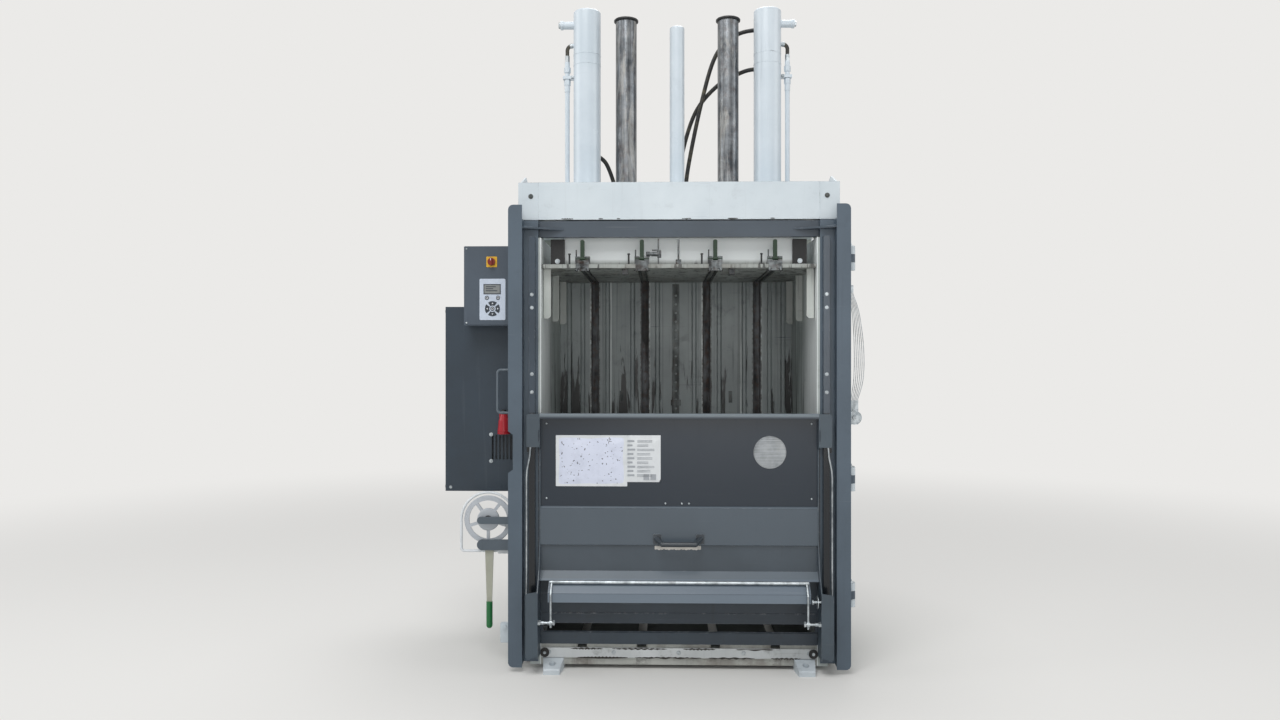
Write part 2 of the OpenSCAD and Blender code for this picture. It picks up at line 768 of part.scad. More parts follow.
module strap_brackets() {
  color("#9fa3a2") {
    for (x = strap_xs) translate([x, 0, 0]) strap_bracket();
    // Trip rod with its cross arm, and the small clamp beside it
    y0 = -platen_half_d;
    bar_z(3, plate_top, plate_top + 112, trip_x, y0 + 14);
    bar_x(3, trip_x - 28, trip_x + 3, y0 + 14, plate_top + 62);
    block(-12, 12, y0, y0 + 22, plate_top, plate_top + 20);
    bar_z(4, plate_top + 20, plate_top + 108, 0, y0 + 10);
  }
}

// Green lever with its pivot pin between the bracket's cheeks
lever_half = 9;
lever_high = 82;
module strap_lever(i) {
  color("#1e5b34") translate([strap_xs[i], 0, 0]) {
    bar_x(3, -bracket_half, bracket_half, pin_y, lever_pivot_z);
    bar_x(8, 1 - cheek_in, cheek_in - 1, pin_y, lever_pivot_z);
    face_plate(pin_y - 6, pin_y + 6,
      rounded(-lever_half, lever_half, lever_pivot_z, lever_pivot_z + lever_high, [2, 2, 7, 7]));
  }
}
module strap_lever_1() { strap_lever(0); }
module strap_lever_2() { strap_lever(1); }
module strap_lever_3() { strap_lever(2); }
module strap_lever_4() { strap_lever(3); }

// Door

// A folded post: front flange with rounded outer corners, two webs and an inner flange
notch_z0 = panel_z1 - 227;
notch_z1 = panel_z1 - 45;
notch_slant = 16;
post_round = 22;
module post(notch) {
  difference() {
    face_plate(post_front, post_front + flange_t,
      rounded(post_in, post_out, post_z0, post_z1, [1, post_round, post_round, 1]));
    if (notch) face_plate(post_front - 1, post_front + flange_t + 1,
      [[post_out - notch_d, notch_z0 + notch_slant], [post_out + 1, notch_z0], [post_out + 1, notch_z1],
        [post_out - notch_d, notch_z1 - notch_slant]]);
  }
  w0 = notch ? web_set : 0;
  y0 = post_front + flange_t;
  block(post_out - flange_t - w0, post_out - w0, y0, col_front - 22, post_z0 + 38, post_z1 - post_round);
  block(post_in, post_in + flange_t, y0, door_back, post_z0 + 10, rail_z1);
  block(flange_in, post_in, door_face, door_back, post_z0 + 10, rail_z1);
}
module door_post_left() {
  color("#56636f") mirror([1, 0, 0]) post(true);
}
module door_post_right() {
  color("#56636f") {
    post(false);
    for (z = hinge_zs) difference() {
      union() {
        block(post_out - flange_t / 2, hinge_x, hinge_y - knuckle_r - 9, hinge_y - knuckle_r + 5,
          z + hinge_leaf_h, z + 2 * hinge_leaf_h);
        bar_z(knuckle_r, z + hinge_leaf_h, z + 2 * hinge_leaf_h, hinge_x, hinge_y);
      }
      bar_z(pin_r + run_gap, z, z + hinge_h, hinge_x, hinge_y);
    }
  }
}

// Hinge brackets on the front column, each with two knuckles and the fixed pin
module hinge_brackets() {
  color("#dfe5e8") for (z = hinge_zs) {
    for (k = [0, 2]) {
      z0 = z + k * hinge_leaf_h + (k == 0 ? 0 : 0.5);
      z1 = z + (k + 1) * hinge_leaf_h - (k == 0 ? 0.5 : 0);
      bar_z(knuckle_r, z0, z1, hinge_x, hinge_y);
      block(col_x, hinge_x, hinge_y + knuckle_r - 8, hinge_y + knuckle_r, z0, z1);
    }
    bar_z(pin_r, z, z + hinge_h, hinge_x, hinge_y);
  }
}

// Upper rail with end blocks and two corner gussets
rail_d = 35;
gusset_t = 8;
module door_top_rail() {
  y0 = beam_front;
  x1 = half_w + 50;
  color("#4d5963") {
    block(-x1, x1, y0, y0 + rail_d, rail_z0, rail_z1);
    pair() {
      block(flange_in, x1, door_back, y0, rail_z0, rail_z1);
      translate([0, 0, rail_z0 + 30]) linear_extrude(gusset_t) polygon([[post_in, post_front + flange_t],
        [post_in, door_face], [flange_in, door_face], [flange_in, y0], [half_w - 100, y0]]);
    }
  }
}

// Fixed lower panel with two folds and the bottom rail below its gap
gap_z0 = sill_rail_z + 54;
gap_z1 = sill_rail_z + 88;
fold_z = sill_rail_z + 130;
module door_panel() {
  x1 = half_w - 10;
  color("#3f464d") {
    difference() {
      block(-flange_in, flange_in, door_face, door_back, sill_rail_z, panel_z1);
      block(-x1, x1, door_face - 1, door_back + 1, gap_z0, gap_z1);
    }
    block(14 - flange_in, flange_in - 14, door_face - 8, door_face, sill_rail_z, gap_z0 - 4);
    block(-x1, x1, door_face - 2, door_face, fold_z, fold_z + 4);
  }
}

// Guide bars for the gate, with the stops it rests on
module guide_rails() {
  color("#5a6771") pair() {
    block(bar_x0, bar_x1, door_face - bar_d, door_face, ear_z0 - 14, wall_top);
    block(bar_x1, bar_x1 + 9, door_face - bar_d + 4, door_face - 8, shoe_z0 - stop_h, shoe_z0 - rest_gap);
  }
}

// Round pull handle on the outside of the left post
module door_pull() {
  r = 6;
  bend = 16;
  z0 = pull_z0;
  z1 = pull_z1;
  x1 = post_out + 54;
  y = post_front + 50;
  color("#3a4148") mirror([1, 0, 0]) {
    for (z = [z0, z1]) bar_x(r, post_out - web_set, x1 - bend, y, z);
    bar_z(r, z0 + bend, z1 - bend, x1, y);
    translate([x1 - bend, y, z1 - bend]) rotate([90, 0, 0]) rotate_extrude(angle = 90, $fn = 48)
      translate([bend, 0]) circle(r = r, $fn = 24);
    translate([x1 - bend, y, z0 + bend]) rotate([90, 90, 0]) rotate_extrude(angle = 90, $fn = 48)
      translate([bend, 0]) circle(r = r, $fn = 24);
  }
}

// Gate

// Folded sheet of the gate, drawn as its section: shelf, panel, band, recess, slope and lip.
// The rear line follows the front one at the sheet's thickness.
band_face = gate_face - band_proj;
band_ease = 8;
lip_return = 36;
gate_front = [[shelf_y + 4, gate_z1], [shelf_y, gate_z1 - 4], [shelf_y, gate_z1 - shelf_h],
  [gate_face, gate_z1 - shelf_h], [gate_face, band_z1 + band_ease], [band_face, band_z1],
  [band_face, band_z0], [gate_face, band_z0 - 4], [gate_face, slope_z1], [lip_y, lip_z1], [lip_y, lip_z0],
  [lip_y + lip_return, lip_z0]];
gate_rear = [[lip_y + lip_return, lip_z0 + gate_t], [lip_y + gate_t, lip_z0 + gate_t],
  [lip_y + gate_t, lip_z1 + 1], [gate_back, slope_z1 + 2], [gate_back, band_z0 - 2],
  [band_face + gate_t, band_z0 + 2], [band_face + gate_t, band_z1 - 1], [gate_back, band_z1 + band_ease],
  [gate_back, gate_z1]];
gate_section = concat(gate_front, gate_rear);
lip_cut_y = gate_face - 34;
module gate_panel() {
  color("#48525b") difference() {
    side_plate(-half_w, half_w, gate_section);
    pair() block(half_w - lip_set, half_w + 1, lip_y - 1, lip_cut_y, lip_z0 - 1, lip_z1 + 50);
  }
}

// Side plates of the gate with the upper shoes and the lower ears that wrap the guide bars
ear_round = 10;
module gate_side() {
  y_edge = band_face - 2;
  x0 = half_w + side_t;
  bar_clear = door_face - 15;
  side_plate(half_w, x0, [[gate_back, gate_z1], [shelf_y, gate_z1], [shelf_y, shoe_z0],
    [y_edge, shoe_z0 - 12], [y_edge, band_z0 + 15], [gate_face - 45, slope_z1 + 10], [ear_y, ear_z1],
    [ear_y, ear_z0 + 8], [ear_y + 8, ear_z0], [bar_clear, ear_z0], [bar_clear, sill_rail_z + 60],
    [gate_back, sill_rail_z + 60]]);
  face_plate(ear_y, ear_y + side_t, concat([[x0, ear_z0 + 14], [half_w + ear_w - 12, ear_z0]],
    corner(half_w + ear_w - 8, ear_z0 + 12, 8, 270),
    corner(half_w + ear_w - ear_round, ear_z1 - ear_round, ear_round, 0), [[x0, ear_z1 + 6]]));
  face_plate(shelf_y, shelf_y + side_t, concat([[x0, shoe_z0]],
    corner(half_w + shoe_w - 6, shoe_z0 + 6, 6, 270), corner(half_w + shoe_w - 12, gate_z1 - 12, 12, 0),
    [[x0, gate_z1]]));
  block(half_w + shoe_w - side_t, half_w + shoe_w, shelf_y + side_t, gate_back - 4, shoe_z0, gate_z1 - 12);
}
module gate_sides() {
  color("#4c5862") pair() gate_side();
}

// Bow handle on the gate's band: its bar hangs a little lower than its two feet
handle_z = 572;
handle_r = 11;
handle_half = 95;
handle_out = 44;
handle_drop = 16;
module gate_handle() {
  y0 = band_face;
  foot = [handle_half, y0 - 4, handle_z];
  knee = [handle_half - 24, y0 - handle_out, handle_z - handle_drop];
  run = norm([knee[0] - foot[0], knee[1] - foot[1]]);
  plate = rounded(handle_half - 20, handle_half + 16, handle_z - 22, handle_z + 20, [5, 5, 5, 5]);
  color("#343a40") {
    bar_x(handle_r, -knee[0], knee[0], knee[1], knee[2]);
    pair() {
      translate(knee) sphere(r = handle_r + 0.3, $fn = 32);
      intersection() {
        translate(foot) rotate([0, 0, atan2(knee[1] - foot[1], knee[0] - foot[0])])
          rotate([0, 90 + atan2(handle_drop, run), 0]) translate([0, 0, -12])
          cylinder(h = norm(knee - foot) + 12, r = handle_r, $fn = 32);
        block(0, handle_half + 20, knee[1] - 20, y0, handle_z - 50, handle_z + 50);
      }
      face_plate(y0 - 5, y0, plate);
    }
  }
}

// Lift rods between shoe and ear, bent at both ends
lift_rod_r = 4;
lift_y = shelf_y + 2.5;
lift_foot = bow_z - 15;
lift_points = [[40, shoe_z0 - rest_gap], [43, shoe_z0 - 40], [55, shoe_z0 - 100], [57, shoe_z0 - 130],
  [57, lift_foot + 88], [56, lift_foot + 28], [48, lift_foot + 10], [30, lift_foot + 2],
  [side_t + rest_gap, lift_foot]];
module gate_rods() {
  color("#aab0b4") pair() swept([for (q = lift_points) [half_w + q[0], lift_y, q[1]]], lift_rod_r);
}

// Pivot bolts of the bow bar, and on the right a stop stud with its wide disc
bolt_r = 6;
bolt_in = 72;
hex_r = 12;
module bow_bolt() {
  bar_x(bolt_r, half_w - bolt_in, half_w, bow_y, bow_z);
  for (q = [[bolt_in, 9], [12, 12]]) translate([half_w - q[0], bow_y, bow_z]) rotate([0, 90, 0])
    cylinder(h = q[1], r = hex_r, $fn = 6);
  bar_x(bolt_r + 2, half_w - 26, half_w - 12, bow_y, bow_z);
}
module bow_bolts() {
  x0 = half_w - 38;
  color("#c9d2d6") {
    pair() bow_bolt();
    bar_x(bolt_r, x0, half_w, bow_y, stop_z);
    bar_x(11, x0, x0 + 6, bow_y, stop_z);
    bar_x(28, half_w - 17, half_w - 14, bow_y, stop_z);
  }
}

// Bow bar: bored eyes, upright arms bent back onto the slope, and the cross bar
module bow_bar() {
  slant = norm([bow_run, bow_rise]);
  lean = atan2(bow_run, bow_rise);
  color("#ccd3d6") {
    pair() {
      difference() {
        union() {
          bar_x(12, bow_x - 6, bow_x + 6, bow_y, bow_z);
          bar_z(bow_r, bow_z - bow_end, bow_knee_z, bow_x, bow_y);
        }
        bar_x(bolt_r + run_gap, bow_x - 7, bow_x + 7, bow_y, bow_z);
      }
      translate([bow_x, bow_y, bow_knee_z]) {
        sphere(r = bow_r + 0.3, $fn = 24);
        rotate([-lean, 0, 0]) cylinder(h = slant, r = bow_r, $fn = 24);
      }
    }
    bar_x(bow_bar_r, -bow_x - bow_bar_r, bow_x + bow_bar_r, bow_y + bow_run, bow_knee_z + bow_rise);
  }
}

// Left side

// Control box and its bracket to the column
box_round = 4;
strap_z0 = ctrl_z0 + 98;
strap_h = 160;
module control_box() {
  color("#4a535c") {
    face_plate(ctrl_y, ctrl_y + ctrl_d, rounded(ctrl_x0, ctrl_x1, ctrl_z0, ctrl_z0 + ctrl_h,
      [box_round, box_round, box_round, box_round]));
    block(ctrl_x1, -col_x, ctrl_y + 5, ctrl_y + 13, strap_z0, strap_z0 + strap_h);
  }
}
plate_half = 24;
plate_t = 3;
knob_r = 17;
stem_r = 6;
module switch_plate() {
  color("#e8b54a") difference() {
    face_plate(ctrl_y - plate_t, ctrl_y, rounded(knob_x - plate_half, knob_x + plate_half,
      knob_z - plate_half, knob_z + plate_half, [4, 4, 4, 4]));
    bar_y(stem_r + run_gap, ctrl_y - plate_t - 1, ctrl_y + 1, knob_x, knob_z);
  }
}
module switch_knob() {
  y0 = ctrl_y - plate_t - rest_gap;
  y1 = y0 - 12.7;
  color("#b8202c") {
    bar_y(stem_r, ctrl_y - 5, ctrl_y - rest_gap, knob_x, knob_z);
    bar_y(knob_r, y1, y0, knob_x, knob_z);
    face_plate(y1 - 14, y1, rounded(knob_x - 5, knob_x + 5, knob_z - knob_r + 1, knob_z + knob_r - 1,
      [4, 4, 4, 4]));
  }
}

// Film keypad with two round keys and a ring of four keys around a fifth
module keypad() {
  y = ctrl_y - 3;
  cx = film_x0 + film_w / 2;
  cz = film_z0 + 51;
  color("#d6deea") face_plate(y, ctrl_y,
    rounded(film_x0, film_x0 + film_w, film_z0, film_z0 + film_h, [6, 6, 6, 6]));
  color("#3a434c") {
    for (x = [-25, 25]) bar_y(10, y - 1, y, cx + x, cz + 51);
    bar_y(9, y - 1, y, cx, cz);
    for (a = [0:90:270]) translate([cx, y, cz]) rotate([90, 0, 0]) linear_extrude(1) rotate(a)
      polygon([[17, -6], [29, -13], [33, -8], [34, 0], [33, 8], [29, 13], [17, 6]]);
  }
}
module display() {
  y = ctrl_y - 3;
  color("#6e7772") block(film_x0 + 22, film_x0 + 92, y - 1, y, film_z0 + 120, film_z0 + 158);
}

// Power cabinet: folded shell, open on the left under its cover, with vent slots in front
vent_x0 = cab_x0 + 212;
vent_step = 17;
vent_w = 9;
vent_z0 = cab_z0 + 147;
vent_z1 = cab_z0 + 258;
module cabinet() {
  z1 = cab_z0 + cab_h;
  t = sheet_t;
  color("#454d55") difference() {
    block(cab_x0, cab_x1, cab_y0, cab_y1, cab_z0, z1);
    block(cab_x0 - 1, cab_x1 - t, cab_y0 + t, cab_y1 - t, cab_z0 + t, z1 - t);
    for (x = [vent_x0:vent_step:vent_x0 + 5 * vent_step])
      block(x, x + vent_w, cab_y0 - 1, cab_y0 + t + 1, vent_z0, vent_z1);
  }
}
module cabinet_cover() {
  z1 = cab_z0 + cab_h;
  x0 = cab_x0 - sheet_t;
  in = 20;
  color("#454d55") {
    block(x0, cab_x0, cab_y0, cab_y1, cab_z0, z1);
    for (y = [cab_y0 + in, cab_y1 - in], z = [cab_z0 + in, z1 - in]) bar_x(8, x0 - 4, x0, y, z);
  }
}

// Red mains inlet facing down, on its mounting plate
inlet_x = cab_x0 + 274;
inlet_z = cab_z0 + 267;
inlet_r = 29;
inlet_h = 60;
module mains_inlet() {
  y = cab_y0 - 34;
  back = 8;
  color("#b8202c") {
    block(inlet_x - 26, inlet_x + 26, cab_y0 - back, cab_y0, inlet_z + 14, inlet_z + 96);
    difference() {
      union() {
        translate([inlet_x, y, inlet_z]) cylinder(h = inlet_h, r1 = inlet_r, r2 = inlet_r - 5, $fn = 48);
        translate([inlet_x, y, inlet_z + inlet_h]) cylinder(h = 30, r1 = inlet_r - 5, r2 = 15, $fn = 48);
        block(inlet_x - 18, inlet_x + 18, y, cab_y0 - back, inlet_z + 22, inlet_z + 84);
      }
      translate([inlet_x, y, inlet_z - 1]) cylinder(h = 45, r = inlet_r - 8, $fn = 48);
    }
  }
}

// Oil tank on the cabinet's floor, with motor and pump on its lid
tank_h = 260;
tank_set = 30;
motor_r = 92;
motor_h = 280;
module oil_tank() {
  z0 = cab_z0 + sheet_t;
  color("#5c6166") block(cab_x0 + tank_set, cab_x1 - tank_set, cab_y0 + 50, cab_y1 - 50, z0, z0 + tank_h);
}
module pump_motor() {
  z0 = cab_z0 + sheet_t + tank_h;
  color("#6a7278") translate([(cab_x0 + cab_x1) / 2, (cab_y0 + cab_y1) / 2, z0]) {
    cylinder(h = 16, r = motor_r + 28, $fn = 48);
    cylinder(h = motor_h, r = motor_r, $fn = 48);
    translate([0, 0, motor_h]) cylinder(h = 40, r1 = motor_r, r2 = motor_r - 22, $fn = 48);
    block(motor_r - 4, motor_r + 38, -60, 60, 90, 200);
  }
}

// Two round-ended arms that carry the lock wheel's shaft and the lever's pin
module lock_arm(z, h) {
  r = h / 2;
  x0 = wheel_x - 46;
  block(x0 + r, -col_x, arm_y, arm_y + arm_t, z - r, z + r);
  bar_y(r, arm_y, arm_y + arm_t, x0 + r, z);
}
module wheel_bracket() {
  color("#3b4248") {
    lock_arm(wheel_z, 32);
    lock_arm(lever_z, 48);
    bar_y(10, arm_y, wheel_y + 16, wheel_x, wheel_z);
    bar_y(8, arm_y, lever_y + lever_t + 4, lever_x, lever_z);
  }
}

// White round-wire guard that arches over the wheel and returns to the column
module wire_guard() {
  big = wheel_r + 8 + guard_r;
  x0 = wheel_x - big;
  zb = wheel_z - 141;
  bend = 14;
  color("#e8edf0") {
    translate([wheel_x, wheel_y, wheel_z]) rotate([90, 0, 0]) rotate_extrude(angle = 180, $fn = 64)
      translate([big, 0]) circle(r = guard_r, $fn = 20);
    bar_z(guard_r, zb + bend, wheel_z, x0, wheel_y);
    translate([x0 + bend, wheel_y, zb + bend]) rotate([90, 180, 0]) rotate_extrude(angle = 90, $fn = 48)
      translate([bend, 0]) circle(r = guard_r, $fn = 20);
    bar_x(guard_r, x0 + bend, -col_x, wheel_y, zb);
    bar_z(guard_r, zb, wheel_z, wheel_x + big, wheel_y);
    block(wheel_x + 46, -col_x, wheel_y - 8, wheel_y + 8, zb - 11, zb + 12);
  }
}

// Lock wheel: flat rim, five spokes and a cupped hub
module lock_wheel() {
  color("#d9dde2") translate([wheel_x, wheel_y, wheel_z]) rotate([-90, 0, 0]) {
    rotate_extrude($fn = 64) polygon([[wheel_r - 22, -5], [wheel_r - 3, -5], [wheel_r, -2], [wheel_r, 2],
      [wheel_r - 3, 5], [wheel_r - 22, 5]]);
    rotate_extrude($fn = 64) polygon([[10 + run_gap, -7], [46, -7], [50, -3], [50, 9], [44, 9], [44, 0],
      [24, 0], [24, 14], [10 + run_gap, 14]]);
    for (a = [0:72:288]) rotate(a + 18) block(46, wheel_r - 20, -7, 7, -4, 4);
  }
}

// Tapered lock lever with its green grip
grip_z1 = lever_z - 256;
grip_r = 14;
grip_h = 106;
grip_fit = 0.2;
lever_top_half = 20;
lever_low_half = 9;
function lever_line(e) = [[lever_x - lever_top_half - e, lever_z],
  [lever_x - lever_low_half - e, grip_z1 - 90 - e], [lever_x + lever_low_half + e, grip_z1 - 90 - e],
  [lever_x + lever_top_half + e, lever_z]];
module lock_lever() {
  color("#b9bbab") difference() {
    union() {
      face_plate(lever_y, lever_y + lever_t, lever_line(0));
      bar_y(lever_top_half, lever_y, lever_y + lever_t, lever_x, lever_z);
    }
    bar_y(8 + run_gap, lever_y - 1, lever_y + lever_t + 1, lever_x, lever_z);
  }
}
module lever_grip() {
  y = lever_y + lever_t / 2;
  color("#1f6a38") difference() {
    union() {
      bar_z(grip_r, grip_z1 - grip_h, grip_z1, lever_x, y);
      translate([lever_x, y, grip_z1 - grip_h]) sphere(r = grip_r, $fn = 32);
    }
    face_plate(lever_y - grip_fit, lever_y + lever_t + grip_fit, lever_line(grip_fit));
  }
}

// Small white bracket beside the base with a bolt and a black cap
module anchor_bracket() {
  y = col_front + 18;
  x0 = -col_x - 105;
  z0 = foot_t + 65;
  z1 = z0 + 92;
  color("#dfe3df") {
    face_plate(y, y + 6, rounded(x0, -col_x, z0, z1, [6, 1, 1, 10]));
    translate([x0 + 21, y - 7, z1 - 21]) rotate([-90, 0, 0]) cylinder(h = 7, r = 10, $fn = 6);
  }
}

// Right side

// Plates for the spare baling strands: hook above, green clamp and roller disc below
plate_d = 6;
roller_x = strand_x + 15;
roller_r = 32;
clamp_h = 39;
module strand_holder() {
  y1 = strand_y + plate_d;
  color("#c9cdcd") {
    block(col_x, strand_x + 12, strand_y, y1, hook_z0, hook_z1);
    block(col_x, roller_x + 19, strand_y, y1, clamp_z0, clamp_z1);
    bar_y(roller_r, strand_y - 15, strand_y, roller_x, roller_z);
    translate([roller_x, strand_y - 22, roller_z]) rotate([-90, 0, 0]) cylinder(h = 7, r = 11, $fn = 6);
  }
  color("#1e5b34") block(strand_x - 5, strand_x + 29, strand_y - 20, strand_y, clamp_z1 - clamp_h, clamp_z1);
}

// Six strands bowed out between hook and clamp
strand_r = 1.6;
function strand_points(i) = let (out = 20 + 8 * i, y = strand_y + 3)
  [[strand_x - 16 + 5 * i, y, hook_z0 - rest_gap], [strand_x - 8 + out * 0.75, y - 2 * i, hook_z0 - 95],
    [strand_x - 4 + out, y - 3 * i, hook_z0 - 255], [strand_x - 6 + out, y - 3 * i, clamp_z1 + 99],
    [strand_x - 2 + i * 6, strand_y - 10, clamp_z1 + rest_gap]];
module strands() {
  color("#b6bbbb") for (i = [0:5]) swept(smooth(strand_points(i), 3), strand_r);
}

base_frame();
front_sill();
frame_bolts();
feet();
side_wall_left();
side_wall_right();
columns();
back_wall();
strap_guides();
wall_fittings();
crosshead();
lifting_lugs();
cylinders();
pipes();
hoses();
sensor_tube();
guide_bushes();
platen();
slide_pads();
guide_skids();
piston_rods();
guide_tubes();
guide_caps();
strap_brackets();
strap_lever_1();
strap_lever_2();
strap_lever_3();
strap_lever_4();
door_post_left();
door_post_right();
door_top_rail();
door_panel();
guide_rails();
hinge_brackets();
door_pull();
gate_panel();
gate_sides();
gate_handle();
gate_rods();
bow_bolts();
bow_bar();
control_box();
switch_plate();
switch_knob();
keypad();
display();
cabinet();
cabinet_cover();
mains_inlet();
oil_tank();
pump_motor();
wheel_bracket();
wire_guard();
lock_wheel();
lock_lever();
lever_grip();
anchor_bracket();
strand_holder();
strands();
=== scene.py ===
# %% [markdown]
# # A vertical recycling baler
# The steel shapes of this machine come ready-made from the CAD frame. This lesson gives
# them their finishes and adds what a sheet-metal shop adds last: bolts, welds, rivets,
# hoses, a document pocket and a keypad's symbols. Everything is in metres, and X runs
# across the front, Y runs back from the door, and Z is up from the floor.

# %% Load the frame
import math

import bmesh
import bpy
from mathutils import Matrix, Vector


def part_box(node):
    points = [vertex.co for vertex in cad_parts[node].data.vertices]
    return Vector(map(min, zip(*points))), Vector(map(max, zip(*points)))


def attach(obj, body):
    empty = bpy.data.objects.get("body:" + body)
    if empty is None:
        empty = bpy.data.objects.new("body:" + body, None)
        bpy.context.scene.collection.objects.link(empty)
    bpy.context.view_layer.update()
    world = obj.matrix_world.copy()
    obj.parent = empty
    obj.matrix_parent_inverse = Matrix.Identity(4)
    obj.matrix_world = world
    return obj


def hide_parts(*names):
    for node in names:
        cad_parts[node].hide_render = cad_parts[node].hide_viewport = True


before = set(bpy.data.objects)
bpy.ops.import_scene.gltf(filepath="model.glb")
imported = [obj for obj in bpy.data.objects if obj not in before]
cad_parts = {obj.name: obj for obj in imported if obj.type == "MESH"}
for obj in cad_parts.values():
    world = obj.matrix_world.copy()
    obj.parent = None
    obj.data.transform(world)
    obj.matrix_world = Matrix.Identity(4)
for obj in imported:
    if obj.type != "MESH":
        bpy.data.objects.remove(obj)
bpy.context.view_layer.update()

# %% [markdown]
# ## Camera
# The picture was taken from just under four metres away, at chest height, with a wide
# lens. The camera is level, so every post stays upright, and it looks a
# little to the left of square. The lens is worked out from the picture's width in pixels.

# %% Place the camera
PICTURE_W = 1280
FOCAL_PX = 920
SENSOR_MM = 36
eye = bpy.data.objects.new("camera", bpy.data.cameras.new("camera"))
bpy.context.collection.objects.link(eye)
eye.data.sensor_width = SENSOR_MM
eye.data.lens = FOCAL_PX * SENSOR_MM / PICTURE_W
eye.location = (-0.072, -4.397, 1.346)
eye.rotation_euler = (math.radians(90), 0, math.radians(1.37))
bpy.context.scene.camera = eye
print("lens", round(eye.data.lens, 2), "mm")

# %% [markdown]
# ## Tools for materials
# Blender computes with linear light, while a colour picked from a chart is sRGB. One
# function turns a hex colour into linear numbers. A second one adds a shader node: its
# inputs are either plain values or the output of another node, so each recipe reads from
# top to bottom like a recipe for paint.

# %% Colour and node helpers
def tint(hex_colour):
    """Linear RGBA for an sRGB colour such as '#56636F'."""
    parts = [int(hex_colour[i:i + 2], 16) / 255 for i in (1, 3, 5)]
    return [c / 12.92 if c <= 0.04045 else ((c + 0.055) / 1.055) ** 2.4 for c in parts] + [1.0]


def add(tree, kind, inputs=None, **settings):
    """Adds one shader node, sets it up, and fills or links its inputs."""
    node = tree.nodes.new("ShaderNode" + kind)
    for name, value in settings.items():
        setattr(node, name, value)
    for socket, value in (inputs or {}).items():
        if isinstance(value, bpy.types.NodeSocket):
            tree.links.new(value, node.inputs[socket])
        else:
            node.inputs[socket].default_value = value
    return node


def new_material(name):
    """An empty material and its node tree."""
    material = bpy.data.materials.new(name)
    material.use_nodes = True
    material.node_tree.nodes.clear()
    return material, material.node_tree


def dress(material, *names):
    """Gives CAD nodes their finish."""
    for name in names:
        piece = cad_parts[name]
        if not piece.material_slots:
            piece.data.materials.append(material)
        for place in piece.material_slots:
            place.material = material
    print(material.name, "on", ", ".join(names))


# %% [markdown]
# ## Where wear happens
# Paint wears first along its edges. The Bevel node answers how far an edge is: its
# rounded normal differs from the flat one only within a few millimetres of a corner. The
# difference, broken up by noise, is a map of the chipped places. Several paints use it.

# %% Edge map
def edge_map(tree, coords, width_mm, amount):
    """1 where an edge has lost its paint, 0 elsewhere."""
    flat = add(tree, "NewGeometry")
    rounded = add(tree, "Bevel", {"Radius": width_mm / 1000}, samples=4)
    facing = add(tree, "VectorMath", {0: rounded.outputs[0], 1: flat.outputs["Normal"]},
        operation="DOT_PRODUCT")
    near_edge = add(tree, "MapRange", {"Value": facing.outputs["Value"], "From Min": 0.995, "From Max": 0.86})
    patchy = add(tree, "TexNoise", {"Vector": coords, "Scale": 38.0, "Detail": 6.0, "Roughness": 0.7})
    patches = add(tree, "MapRange", {"Value": patchy.outputs["Fac"], "From Min": 0.62 - amount * 0.2,
        "From Max": 0.66})
    both = add(tree, "Math", {0: near_edge.outputs[0], 1: patches.outputs[0]}, operation="MULTIPLY")
    return both.outputs[0]


# %% [markdown]
# ## Enamel on sheet steel
# Machine enamel is sprayed and dries with a faint orange peel, about 2.5 mm from dimple to
# dimple. On a working baler it carries four things more: soft clouds of dust, grey smears
# that run down, fine scratches that lie across, and chipped edges where steel shows. Each
# is one noise texture with its own stretch, so the same recipe serves the white crosshead,
# the blue-grey door and the cream press chamber with different amounts.

